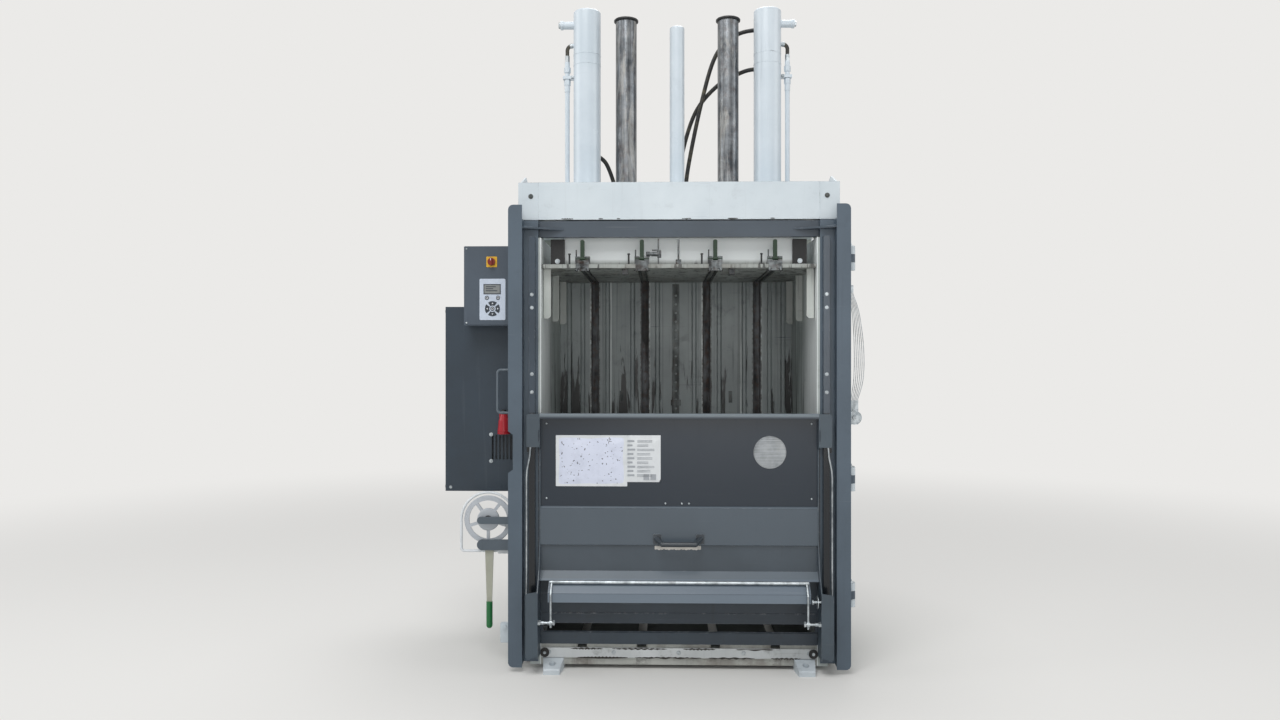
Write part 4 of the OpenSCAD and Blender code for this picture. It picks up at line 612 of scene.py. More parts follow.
# Pale blue-white, shiny, with a finer grain than the mouldings.
keypad_film = moulded("keypad_polyester_film", "#CFD9E8", 0.28, grain_mm=0.6, bloom="#9AA3AE", bloomed=0.3)
dress(keypad_film, "keypad")
# Nearly black, with slanting ridges and tan blotches.
hose_rubber = moulded("wrapped_hose_rubber", "#1A1B1C", 0.55, bloom="#8A8268", bloomed=0.6,
    wave_scale=6.3492063492)
# Black with hardly any shine, and greyish patches.
black_rubber = moulded("black_rubber", "#161616", 0.62, bloom="#55524E", bloomed=0.5)
# Smooth mid grey with a clear reflection, as of a display that is off.
lcd_glass = moulded("display_window", "#8B8E8D", 0.08, bloom="#787B7A", bloomed=0.3)
dress(lcd_glass, "display")

# %% [markdown]
# ## Tools for shapes
# Added pieces are built from points and faces in plain code. Three small builders do most
# of the work: a rounded plate for lids, labels and brackets, a tube that follows a path
# for hoses and weld beads, and a hexagon bolt. Each returns points and faces. One more
# function, group, makes an object of them and lets it ride on the body it is fixed to.

# %% Shape helpers
TO_FRONT, UP = (0, -1, 0), (0, 0, 1)


def shape(name, points, faces, material, body, smooth=False):
    """A mesh object from points and faces that rides on a body."""
    mesh = bpy.data.meshes.new(name)
    mesh.from_pydata([tuple(p) for p in points], [], faces)
    clean = bmesh.new()
    clean.from_mesh(mesh)
    bmesh.ops.recalc_face_normals(clean, faces=clean.faces)
    clean.to_mesh(mesh)
    clean.free()
    mesh.materials.append(material)
    if smooth:
        mesh.shade_smooth()
    piece = bpy.data.objects.new(name, mesh)
    bpy.context.collection.objects.link(piece)
    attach(piece, body)
    return piece


def outline(x0, x1, z0, z1, r, steps=5):
    """Corner-rounded rectangle as X and Z points."""
    ring = []
    for cx, cz, start in ((x1 - r, z1 - r, 0), (x0 + r, z1 - r, 90), (x0 + r, z0 + r, 180),
            (x1 - r, z0 + r, 270)):
        for i in range(steps + 1):
            a = math.radians(start + 90 * i / steps)
            ring.append((cx + r * math.cos(a), cz + r * math.sin(a)))
    return ring


def plate(ring, y_back, y_front, ease=0.0008):
    """Points and faces of a flat plate that faces the front, with eased front edges."""
    cx = sum(x for x, z in ring) / len(ring)
    cz = sum(z for x, z in ring) / len(ring)
    width = max(x for x, z in ring) - min(x for x, z in ring)
    height = max(z for x, z in ring) - min(z for x, z in ring)
    sx, sz = 1 - 2 * ease / width, 1 - 2 * ease / height
    inner = [(cx + (x - cx) * sx, cz + (z - cz) * sz) for x, z in ring]
    n = len(ring)
    points = [(x, y_back, z) for x, z in ring] + [(x, y_front + ease, z) for x, z in ring]
    points += [(x, y_front, z) for x, z in inner]
    faces = [list(range(n)), list(range(2 * n, 3 * n))]
    for k in (0, n):
        faces += [[k + i, k + (i + 1) % n, k + n + (i + 1) % n, k + n + i] for i in range(n)]
    return points, faces


def joined(parts):
    """Several point and face lists as one."""
    points, faces = [], []
    for more_points, more_faces in parts:
        start = len(points)
        points += more_points
        faces += [[start + i for i in face] for face in more_faces]
    return points, faces


# %% [markdown]
# A path tube carries a small square of axes along its path. A weld bead is the same tube
# with its radius rising and falling every 3.6 mm, the print of each drop of metal.

# %% Tubes along a path
def walls(rings, sides):
    """Faces from each ring of points to the next, and the two ends."""
    faces = []
    for i in range(rings - 1):
        for k in range(sides):
            a, b = i * sides + k, i * sides + (k + 1) % sides
            faces.append([a, b, b + sides, a + sides])
    return faces + [list(range(sides)), list(range((rings - 1) * sides, rings * sides))]


def tube(path, radius, sides=10, ripple=0.0, pitch=0.003):
    """Points and faces of a round bar along a path, closed at both ends."""
    path = [Vector(p) for p in path]
    points, travelled = [], 0.0
    side = None
    for i, p in enumerate(path):
        ahead = (path[min(i + 1, len(path) - 1)] - path[max(i - 1, 0)]).normalized()
        if side is None:
            side = ahead.orthogonal().normalized()
        else:
            side = (side - ahead * side.dot(ahead)).normalized()
        other = ahead.cross(side)
        travelled += (p - path[i - 1]).length if i else 0.0
        ends = 0.55 if i in (0, len(path) - 1) and ripple else 1.0
        r = radius * ends * (1 + ripple * math.sin(2 * math.pi * travelled / pitch))
        for k in range(sides):
            a = 2 * math.pi * k / sides
            points.append(p + r * (math.cos(a) * side + math.sin(a) * other))
    return points, walls(len(path), sides)


def weld(start, end, radius=0.003):
    """A rippled bead from one point to another."""
    start, end = Vector(start), Vector(end)
    steps = max(8, int((end - start).length / 0.0009))
    return tube([start.lerp(end, i / steps) for i in range(steps + 1)], radius, 8, ripple=0.16, pitch=0.0036)


def spun(profile, at, axis, sides=32):
    """Points and faces turned from (radius, height) pairs, standing at a point along an axis."""
    axis = Vector(axis).normalized()
    side = axis.orthogonal().normalized()
    other = axis.cross(side)
    points = []
    for r, h in profile:
        reach = max(r, 0.00005)
        for k in range(sides):
            a = 2 * math.pi * k / sides
            points.append(Vector(at) + axis * h + reach * (math.cos(a) * side + math.sin(a) * other))
    return points, walls(len(profile), sides)


def bolt(at, axis, flats=0.013, height=0.007, washer=0.012):
    """A hexagon head with a chamfered top, on its washer."""
    r = flats / math.sqrt(3)
    head = spun([(r, 0.0015), (r, height - 0.001), (r * 0.86, height)], at, axis, sides=6)
    return joined([spun([(washer, 0), (washer, 0.0012), (washer - 0.0004, 0.0016)], at, axis, 28), head])


def group(name, parts, material, body, smooth=False):
    """Several built parts as one object on a body."""
    points, faces = joined(parts)
    piece = shape(name, points, faces, material, body, smooth)
    print(name, len(faces), "faces on", body)
    return piece


# %% [markdown]
# ## Where things are
# A few planes from the CAD boxes set how deep the added pieces sit: the gate's face, the
# door plate, the fronts of the control box and the cabinet, the sill and the beam.

# %% Planes taken from the frame
SHEET = 0.003
gate_low, gate_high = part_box("gate_panel")
gate_face = gate_high[1] - SHEET
door_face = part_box("door_panel")[0][1] + 0.008
box_low, box_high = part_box("control_box")
box_face = box_low[1]
cab_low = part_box("cabinet")[0]
cab_face = cab_low[1]
sill_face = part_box("front_sill")[0][1]
beam_low, beam_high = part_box("crosshead")
print("gate face", round(gate_face, 3), "box face", round(box_face, 3), "cabinet", round(cab_face, 3))

# %% [markdown]
# ## Document pocket
# The machine's papers sit in a clear pocket on the gate. Each is one sheet that has cockled
# slightly, and the film in front is a clear coat in its material. The print
# is only grey blocks and lines. The cockle is a few millimetres of slow waves, which is
# enough to break up the reflection.

# %% Paper and print materials
def printed_paper(name, colour, deep, flecked=0.0):
    """Coated paper behind film: nearly white, faintly stained, flecked with grit, glossy in front."""
    material, tree = new_material(name)
    place = add(tree, "TexCoord").outputs["Object"]
    stain = add(tree, "TexNoise", {"Vector": place, "Scale": 17.0, "Detail": 8.0, "Roughness": 0.66})
    stained = add(tree, "MapRange", {"Value": stain.outputs["Fac"], "From Min": 0.5, "From Max": 0.74,
        "To Max": 0.7})
    colour_out = add(tree, "Mix", {0: stained.outputs[0], 6: tint(colour), 7: tint(deep)}, data_type="RGBA")
    specks = add(tree, "TexNoise", {"Vector": place, "Scale": 95.0, "Detail": 1.0})
    speckled = add(tree, "MapRange", {"Value": specks.outputs["Fac"], "From Min": 0.69, "From Max": 0.7,
        "To Max": flecked})
    dotted = add(tree, "Mix", {0: speckled.outputs[0], 6: colour_out.outputs[2], 7: tint("#2D2F36")},
        data_type="RGBA")
    ripple = add(tree, "TexNoise", {"Vector": place, "Scale": 9.0, "Detail": 3.0})
    bump = add(tree, "Bump", {"Height": ripple.outputs["Fac"], "Strength": 0.5, "Distance": 0.004})
    skin = add(tree, "BsdfPrincipled", {"Base Color": dotted.outputs[2], "Roughness": 0.45,
        "Coat Weight": 0.7, "Coat Roughness": 0.12, "Normal": bump.outputs[0]})
    add(tree, "OutputMaterial", {"Surface": skin.outputs[0]})
    return material


# Bluish white and speckled. The second sheet is less blue and plain.
pocket_paper = printed_paper("pocket_paper", "#D8DEF0", "#BFC5D6", flecked=0.85)
sheet_paper = printed_paper("sheet_paper", "#DDE1E4", "#C4C8CB")
# Plain grey ink.
grey_print = moulded("grey_print", "#A3A8AE", 0.4, bloomed=0.1)

# %% Cockled sheets
def cockled(name, x0, x1, z0, z1, stand, material, depth=0.0012):
    """A sheet that stands a little off the gate, with slow waves and a turned rim."""
    columns, rows = 24, 16
    points, faces = [], []
    for j in range(rows + 1):
        for i in range(columns + 1):
            u, v = i / columns, j / rows
            inside = min(1.0, 8 * min(u, 1 - u, v, 1 - v))
            wave = math.sin(9 * u + 4 * v) * math.cos(5 * v - 3 * u)
            points.append((x0 + (x1 - x0) * u, gate_face - stand * inside - depth * inside * wave,
                z0 + (z1 - z0) * v))
    for j in range(rows):
        for i in range(columns):
            a = j * (columns + 1) + i
            faces.append([a, a + 1, a + columns + 2, a + columns + 1])
    return shape(name, points, faces, material, "gate", smooth=True)


POCKET = (-0.531, -0.226, 0.800, 1.016)
INSPECTION = (-0.228, -0.078, 0.816, 1.019)
cockled("document_pocket", *POCKET, 0.004, pocket_paper)
cockled("inspection_sheet", *INSPECTION, 0.003, sheet_paper, depth=0.0006)
border = plate(outline(-0.534, -0.223, 0.797, 1.019, 0.003), gate_face - 0.0004, gate_face - 0.0012, 0.0003)
group("pocket_border", [border], sheet_paper, "gate")

# %% Generic print as blocks
PRINT_BACK, PRINT_FRONT, PRINT_EASE = gate_face - 0.003, gate_face - 0.0044, 0.0002
ROWS, ROW_TOP, ROW_STEP = 9, 0.998, 0.0185
LABEL_X, TEXT_X = -0.222, -0.180
blocks = []
for row in range(ROWS):
    z = ROW_TOP - row * ROW_STEP
    length = (0.030, 0.022, 0.034, 0.026)[row % 4]
    label = outline(LABEL_X, LABEL_X + length, z - 0.008, z, 0.0008, 2)
    blocks.append(plate(label, PRINT_BACK, PRINT_FRONT, PRINT_EASE))
    for line in range(2):
        z_line = z - 0.001 - 0.006 * line
        text = outline(TEXT_X, TEXT_X + length * 2.2, z_line - 0.0022, z_line, 0.0004, 2)
        blocks.append(plate(text, PRINT_BACK, PRINT_FRONT, PRINT_EASE))
for x in (-0.152, -0.122):
    square = outline(x, x + 0.024, 0.826, 0.850, 0.001, 2)
    blocks.append(plate(square, PRINT_BACK, PRINT_FRONT, PRINT_EASE))
group("sheet_print", blocks, grey_print, "gate")

# %% [markdown]
# ## Round plate and rivets
# A round plate of brushed metal sits right of the papers. Its face is bare, and its rim is
# a rolled lip 3 mm wide. Three rivets sit below it and two near each edge
# of the gate: each is a low dome with a dimple.

# %% Plate and rivets
# Brush lines run level across the plate.
round_metal = worked_steel("brushed_aluminium_plate", "#969A9D", "#6E7275", 0.34, (4.0, 10.0, 260.0),
    smeared=0.3)
ROUND_X, ROUND_Z = 0.395, 0.946
disc = spun([(0.071, 0), (0.071, 0.0016), (0.070, 0.0024), (0.068, 0.0024), (0.067, 0.0014),
    (0.0005, 0.0014)], (ROUND_X, gate_face, ROUND_Z), TO_FRONT, 64)
group("round_plate", [disc], round_metal, "gate")
dome = [(0.0045, 0), (0.0044, 0.0008), (0.0036, 0.0019), (0.0022, 0.0025), (0.0014, 0.0025), (0.0011, 0.0016)]
RIVET_Z = 0.723
rivets = [spun(dome, (x, gate_face, RIVET_Z), TO_FRONT, 24) for x in (-0.057, 0.014, 0.045)]
EDGE_X, EDGE_ZS = 0.575, (0.745, 1.07)
rivets += [spun(dome, (x, gate_face, z), TO_FRONT, 24) for x in (-EDGE_X, EDGE_X) for z in EDGE_ZS]
group("gate_rivets", rivets, zinc_steel, "gate", smooth=True)

# %% [markdown]
# ## Pale strip and fold highlights
# Below the handle a pale ragged strip lies along the edge of the band. It is only 0.3 mm
# proud, and its edge is uneven, because no straight line gives one. Three short ones lie on
# the fold above, as painted highlights where the fold catches the light.

# %% Pale strip under the handle and fold highlights
# Pale warm grey, rather matt, with dirt in it.
pale_mark_paint = enamel("pale_strip_and_highlight_paint", "#D3D0CA", "#B4B0A9", 0.5, dirt="#55524D", dirty=0.6, scratched=0.4,
    chipped=0.2)
STRIP_TOP, STRIP_TALL = 0.539, 0.016
upper, lower = [], []
for i in range(41):
    x = -0.104 + 0.201 * i / 40
    ragged = 0.0016 * math.sin(23 * i) + 0.0013 * math.sin(7.1 * i + 1)
    upper.append((x, STRIP_TOP + 0.4 * ragged))
    lower.append((x, STRIP_TOP - STRIP_TALL + ragged))
strip = plate(upper[::-1] + lower, gate_face + 0.0002, gate_face - 0.0003, 0.0001)
pale_marks = [strip]
# Painted highlights along the fold above the band, where it catches the light.
FOLD_Z = 0.704
for x0, x1, seed in ((-0.583, -0.541, 3), (-0.293, -0.256, 5), (0.523, 0.586, 8)):
    xs = [x0 + (x1 - x0) * i / 12 for i in range(13)]
    top = [(x, FOLD_Z + 0.0034 + 0.0016 * math.sin(seed * i)) for i, x in enumerate(xs)]
    low = [(x, FOLD_Z - 0.0012 + 0.0014 * math.sin(seed * 2.3 * i + 1)) for i, x in enumerate(xs)]
    pale_marks.append(plate(top[::-1] + low, gate_face + 0.0002, gate_face - 0.0003, 0.0001))
group("pale_strip_and_fold_highlights", pale_marks, pale_mark_paint, "gate")

# %% [markdown]
# ## Ragged wear on edges
# Bales leave over the sill, so its two long edges are worn to black in ragged bands, and the
# wires have struck chips out of the white beam's lower edge. A band is drawn like the rubbed
# strip: a thin plate between two wavy lines that draw together at both ends.

# %% Ragged band
BAND_STEPS = 28


def ragged_band(x0, x1, z, face, seed, half=0.0016):
    """A thin band of wear along X, widest in the middle, with its own seed for the waves."""
    top, low = [], []
    for i in range(BAND_STEPS + 1):
        x = x0 + (x1 - x0) * i / BAND_STEPS
        fade = math.sin(math.pi * i / BAND_STEPS) ** 0.5
        top.append((x, z + 0.0006 + fade * half * (1 + 0.7 * math.sin(seed * 1.7 * i))))
        low.append((x, z - 0.0006 - fade * half * (1 + 0.9 * math.sin(seed * 2.9 * i + 1))))
    return plate(top[::-1] + low, face + 0.0004, face - 0.0003, 0.0001)


# %% Bands on sill and beam
# Nearly black and matt.
soot = enamel("sill_soot", "#1E1C1A", "#2E2A27", 0.6, dirt="#4A4641", dirty=0.7, scratched=0.3, chipped=0.0)
SILL_TOP, SILL_FOLD, BEAM_EDGE = 0.089, 0.051, beam_low[2] + 0.0035
sill_spans = [(-0.47, -0.33, SILL_TOP, 3), (-0.29, -0.05, SILL_TOP, 5), (0.02, 0.16, SILL_TOP, 8),
    (0.25, 0.41, SILL_TOP, 11), (-0.44, -0.22, SILL_FOLD, 13), (-0.19, 0.10, SILL_FOLD, 17),
    (0.13, 0.33, SILL_FOLD, 19), (0.40, 0.53, SILL_FOLD, 23)]
bands = [ragged_band(x0, x1, z, sill_face, seed, 0.0026) for x0, x1, z, seed in sill_spans]
beam_spans = [(-0.515, -0.46, 3), (-0.35, -0.33, 5), (-0.27, -0.255, 7), (0.015, 0.055, 11),
    (0.215, 0.26, 13), (0.40, 0.42, 17)]
bands += [ragged_band(x0, x1, BEAM_EDGE, beam_low[1], seed) for x0, x1, seed in beam_spans]
group("worn_edges", bands, soot, "chassis")
print("worn bands", len(bands))

# %% [markdown]
# ## Welds
# The frame is welded, and short stitch welds show where plate meets plate: under the
# handle's feet, along the shoes and ears, in the post corners and at the gussets. They
# carry the paint of what they join. Stitches are 30 to 50 mm long, one every 70 to 210 mm.

# %% Stitch welds on door and gate
def stitches(x, y, z0, z1, run=0.035, every=0.15):
    """Upright stitch welds at one corner line."""
    made, z = [], z0 + 0.02
    while z + run < z1:
        made.append(weld((x, y, z), (x, y, z + run), 0.0028))
        z += every
    return made


rail_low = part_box("guide_rails")[0]
gate_side_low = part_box("gate_sides")[0]
GUIDE_X, WEB_X, POST_X, WELD_TOP = 0.622, 0.648, 0.675, 1.86
GUSSET_Z = 1.9225
door_welds = []
for side in (-1, 1):
    door_welds += stitches(side * GUIDE_X, door_face, 1.15, WELD_TOP)
    door_welds += stitches(side * WEB_X, door_face, 0.10, WELD_TOP, every=0.21)
    door_welds += stitches(side * POST_X, door_face, 0.12, WELD_TOP, every=0.18)
    door_welds.append(weld((side * 0.67, -0.443, GUSSET_Z), (side * 0.615, door_face, GUSSET_Z), 0.003))
group("door_welds", door_welds, door_enamel, "door", smooth=True)

EAR_X = 0.6045
gate_welds = []
for side in (-1, 1):
    gate_welds += stitches(side * EAR_X, gate_low[1] + 0.0415, 0.975, 1.11, run=0.05, every=0.08)
    gate_welds += stitches(side * EAR_X, gate_side_low[1] + 0.0045, 0.10, 0.35, run=0.03, every=0.07)
handle_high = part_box("gate_handle")[1]
for side in (-1, 1):
    for z in (handle_high[2] - 0.0418, handle_high[2] - 0.0002):
        foot_y = gate_face - 0.0102
        gate_welds.append(weld((side * 0.079, foot_y, z), (side * 0.107, foot_y, z), 0.002))
group("gate_welds", gate_welds, gate_enamel, "gate", smooth=True)

# %% [markdown]
# ## Bolts
# The guide strips are held by small zinc bolts, the slide pads by zinc hexagons, and the
# white beam's end plates by one dark bolt each. Each list holds the bolts of
# one part of the machine.

# %% Bolts on each body
# Dark grey metal with a soft shine.
dark_steel = worked_steel("blackened_steel", "#4A4C4E", "#26282A", 0.42, (60.0, 60.0, 60.0), smeared=0.2,
    rusted=0.2)
STRIP_X, STRIP_ZS = 0.635, (1.629, 1.572, 1.285, 1.207)
strip_bolts = [bolt((side * STRIP_X, rail_low[1], z), TO_FRONT, 0.010, 0.005, 0.008)
    for side in (-1, 1) for z in STRIP_ZS]
group("strip_bolts", strip_bolts, zinc_steel, "door")
pad_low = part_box("slide_pads")[0]
PAD_X, PAD_BOLT_UP = 0.535, 0.018
pad_bolts = [bolt((side * PAD_X, pad_low[1], pad_low[2] + PAD_BOLT_UP), TO_FRONT, 0.013, 0.006, 0.011)
    for side in (-1, 1)]
group("pad_bolts", pad_bolts, zinc_steel, "ram")
END_PLATE_X, END_PLATE_Z = 0.648, 2.064
beam_bolts = [bolt((side * END_PLATE_X, beam_low[1] + SHEET, END_PLATE_Z), TO_FRONT, 0.013, 0.006, 0.011)
    for side in (-1, 1)]
group("beam_bolts", beam_bolts, strip_steel, "chassis")
LID_SCREW_IN, LID_WIDE = 0.012, 0.220
screw_profile = [(0.004, 0), (0.004, 0.001), (0.003, 0.0018), (0.0006, 0.0018)]
box_bolts = [spun(screw_profile, (x, box_face - 0.0014, z), TO_FRONT, 20)
    for x in (box_low[0] + LID_SCREW_IN, box_low[0] + LID_WIDE - LID_SCREW_IN)
    for z in (box_low[2] + LID_SCREW_IN, box_high[2] - LID_SCREW_IN)]
cab_bolts = [bolt((-0.862, cab_face, z), TO_FRONT, 0.010, 0.005, 0.009) for z in (1.002, 0.879)]
cab_bolts += [bolt((x, cab_face, cab_low[2] + 0.018), TO_FRONT, 0.008, 0.004, 0.007) for x in (-1.05, -0.72)]
group("box_screws", box_bolts + cab_bolts, zinc_steel, "chassis")
wheel_low, wheel_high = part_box("lock_wheel")
wheel_at = ((wheel_low[0] + wheel_high[0]) / 2, wheel_low[1], (wheel_low[2] + wheel_high[2]) / 2)
hub_nut = bolt((wheel_at[0], wheel_low[1] + 0.0005, wheel_at[2]), TO_FRONT, 0.024, 0.011, 0.019)
group("wheel_nut", [hub_nut], dark_steel, "wheel")
BUFFER_X, BUFFER_Z = 0.583, 0.0725
buffer_profile = [(0.02, 0), (0.02, 0.007), (0.018, 0.009), (0.008, 0.009)]
buffers = [spun(buffer_profile, (side * BUFFER_X, sill_face + 0.001, BUFFER_Z), TO_FRONT, 32)
    for side in (-1, 1)]
group("sill_buffers", buffers, black_rubber, "chassis")
buffer_bolts = [bolt((side * BUFFER_X, sill_face - 0.008, BUFFER_Z), TO_FRONT, 0.008, 0.004, 0.0065)
    for side in (-1, 1)]
group("buffer_bolts", buffer_bolts, zinc_steel, "chassis")

# %% [markdown]
# ## Small parts on the ram
# Left of each strap lever a thin pin stands on the platen's front edge, and a steel tee is
# screwed on the trip rod. Two dark blocks hang below the platen, and two bent wire hooks sit
# in each bracket.
# All of them ride on the ram, so they go down with it.

# %% Pins, tee, blocks and hooks on the ram
platen_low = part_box("platen")[0]
lever_xs = [sum(box[i][0] for i in (0, 1)) / 2 for box in (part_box(f"strap_lever_{n}") for n in (1, 2, 3, 4))]
PLATE_TOP = 1.765
pin_y = platen_low[1] + 0.012
PIN_LEFT = 0.058
pin_profile = [(0.004, 0), (0.004, 0.042), (0.0062, 0.0425), (0.0062, 0.046), (0.005, 0.048)]
pins = [spun(pin_profile, (x - PIN_LEFT, pin_y, PLATE_TOP), UP, 16) for x in lever_xs]
group("wire_pins", pins, dark_steel, "ram")
tee_x, tee_y, tee_z = -0.084, platen_low[1] + 0.014, PLATE_TOP + 0.045
tee = [spun([(0.010, 0), (0.010, 0.034), (0.007, 0.035), (0.007, 0.040), (0.011, 0.041), (0.011, 0.056),
    (0.008, 0.058)], (tee_x, tee_y, tee_z), (-1, 0, 0), 20)]
tee.append(spun([(0.009, -0.016), (0.009, 0.016)], (tee_x, tee_y, tee_z), UP, 6))
group("trip_tee", tee, bracket_steel, "ram")
PLATE_LOW, BLOCK_HALF, BLOCK_TALL = 1.748, 0.013, 0.026
blocks = []
for x in (-0.235, 0.235):
    ring = outline(x - BLOCK_HALF, x + BLOCK_HALF, PLATE_LOW - BLOCK_TALL, PLATE_LOW + 0.0005, 0.002)
    blocks.append(plate(ring, platen_low[1] + 0.060, platen_low[1] + 0.034, 0.0008))
group("hook_blocks", blocks, dark_steel, "ram")
bracket_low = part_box("strap_brackets")[0]
hook_y, HOOK_Z = bracket_low[1] + 0.004, 1.742
hooks = []
for x in lever_xs:
    for side in (-1, 1):
        start, drop = x + side * 0.008, HOOK_Z - 0.010
        route = [(start, hook_y, HOOK_Z + 0.010), (start + side * 0.009, hook_y + 0.001, HOOK_Z + 0.002)]
        route += [(start + side * 0.016, hook_y + 0.003, drop),
            (start + side * 0.024, hook_y + 0.008, drop + 0.006)]
        hooks.append(tube(route, 0.0028))
group("wire_hooks", hooks, dark_steel, "ram", smooth=True)
print("pins at", [round(x - PIN_LEFT, 3) for x in lever_xs])

# %% [markdown]
# ## Control box lid, switch and keypad
# The box has a lid that stands 1.4 mm proud and leaves a 5 mm edge round it. On the
# film keypad the symbols are plain: four dark petals with an arrowhead each, three rings
# and the frame of the display. They are printed, so they are at most 0.5 mm high.

# %% Lid and symbols
LID_IN = 0.005
lid_ring = outline(box_low[0] + LID_IN, box_low[0] + LID_WIDE - LID_IN, box_low[2] + LID_IN,
    box_high[2] - LID_IN, 0.004)
lid = plate(lid_ring, box_face - 0.0002, box_face - 0.0014, 0.0006)
group("box_lid", [lid], box_powder, "chassis")
# Two flat inks, one pale and one dark.
pale_print = moulded("pale_print", "#E6EAF0", 0.3, bloomed=0.1)
dark_print = moulded("dark_print", "#2F3740", 0.32, bloom="#5A626B", bloomed=0.2)
keypad_low, keypad_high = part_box("keypad")
key_x = (keypad_low[0] + keypad_high[0]) / 2
key_z = keypad_low[2] + 0.051
key_face = keypad_low[1]
RING_PROFILE = [(0.0058, 0.0002), (0.0058, 0.0004), (0.0036, 0.0004), (0.0036, 0.0002)]
petals, arrows = [], []
for turn in range(4):
    middle = math.radians(90 * turn)
    angles = [middle + math.radians(a) for a in range(-36, 37, 8)]
    ring = [(key_x + 0.034 * math.cos(a), key_z + 0.034 * math.sin(a)) for a in angles]
    ring += [(key_x + 0.0145 * math.cos(a), key_z + 0.0145 * math.sin(a)) for a in angles[::-1]]
    petals.append(plate(ring, key_face, key_face - 0.0002, 0.0001))
    tip = (math.cos(middle), math.sin(middle))
    cx, cz = key_x + 0.024 * tip[0], key_z + 0.024 * tip[1]
    ring = [(cx + 0.0042 * tip[0], cz + 0.0042 * tip[1]),
        (cx - 0.0026 * tip[0] - 0.0042 * tip[1], cz - 0.0026 * tip[1] + 0.0042 * tip[0]),
        (cx - 0.0026 * tip[0] + 0.0042 * tip[1], cz - 0.0026 * tip[1] - 0.0042 * tip[0])]
    arrows.append(plate(ring, key_face - 0.0002, key_face - 0.0005, 0.0001))
for x, z in ((key_x - 0.025, key_z + 0.049), (key_x + 0.025, key_z + 0.049), (key_x, key_z)):
    petals.append(spun([(0.0095, 0), (0.0095, 0.0002), (0.0005, 0.0002)], (x, key_face, z), TO_FRONT, 32))
    arrows.append(spun(RING_PROFILE, (x, key_face, z), TO_FRONT, 32))
group("key_petals", petals, dark_print, "chassis")
group("key_arrows", arrows, pale_print, "chassis")
screen_low, screen_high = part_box("display")
bars = [plate(outline(screen_low[0] + 0.006, screen_low[0] + 0.006 + w, z, z + 0.004, 0.0005, 2),
    screen_low[1], screen_low[1] - 0.0002, 0.0001)
    for w, z in ((0.046, screen_high[2] - 0.010), (0.034, screen_high[2] - 0.019),
    (0.052, screen_high[2] - 0.028))]
group("screen_lines", bars, dark_print, "chassis")
RIM, SCREEN_W, SCREEN_H = 0.004, 0.070, 0.038
frame_ring = []
for x0, x1, z0, z1 in ((-RIM, SCREEN_W + RIM, -RIM, 0.0), (-RIM, SCREEN_W + RIM, SCREEN_H, SCREEN_H + RIM),
        (-RIM, 0.0, 0.0, SCREEN_H), (SCREEN_W, SCREEN_W + RIM, 0.0, SCREEN_H)):
    bar = outline(screen_low[0] + x0, screen_low[0] + x1, screen_low[2] + z0, screen_low[2] + z1, 0.0008, 2)
    frame_ring.append(plate(bar, keypad_low[1] + 0.001, keypad_low[1] - 0.0002, 0.0002))
group("screen_frame", frame_ring, dark_print, "chassis")
knob_low, knob_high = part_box("switch_knob")
knob_x = (knob_low[0] + knob_high[0]) / 2
knob_z = (knob_low[2] + knob_high[2]) / 2
mark_ring = outline(knob_x - 0.0012, knob_x + 0.0012, knob_z + 0.004, knob_z + 0.014, 0.0008, 3)
mark = plate(mark_ring, knob_low[1], knob_low[1] - 0.0003, 0.0001)
group("knob_mark", [mark], pale_print, "knob")

# %% [markdown]
# ## Hydraulic hoses
# Three return hoses run from the cylinders down to the crosshead, and two short ones
# elbow from the barrels into the pipes. A hose is stiff and springs into one smooth arc, so
# its route is a Catmull-Rom curve through a few points, the same curve that the CAD solid
# follows. A curve object with a round bevel keeps the hose's real length measurable.

# %% Hose routes
def smooth_route(points, steps):
    """A Catmull-Rom curve through the points."""
    p = [Vector(q) for q in points]
    route = []
    for i in range(len(p) - 1):
        a, b, c, d = p[max(i - 1, 0)], p[i], p[i + 1], p[min(i + 2, len(p) - 1)]
        for k in range(steps):
            t = k / steps
            bend, twist = 2 * a - 5 * b + 4 * c - d, 3 * b - a - 3 * c + d
            route.append(0.5 * (2 * b + (c - a) * t + bend * t ** 2 + twist * t ** 3))
    return route + [p[-1]]


def cable(name, route, radius, material, body, resolution=6):
    """A round cable or wire as one open poly spline."""
    curve = bpy.data.curves.new(name, "CURVE")
    curve.dimensions = "3D"
    curve.bevel_depth = radius
    curve.bevel_resolution = resolution
    curve.use_fill_caps = True
    line = curve.splines.new("POLY")
    line.points.add(len(route) - 1)
    for point, place in zip(line.points, route):
        point.co = (*place, 1.0)
    curve.materials.append(material)
    piece = bpy.data.objects.new(name, curve)
    bpy.context.collection.objects.link(piece)
    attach(piece, body)
    length = sum((b - a).length for a, b in zip(route, route[1:]))
    print(name, round(length, 3), "m long")
    return piece, length


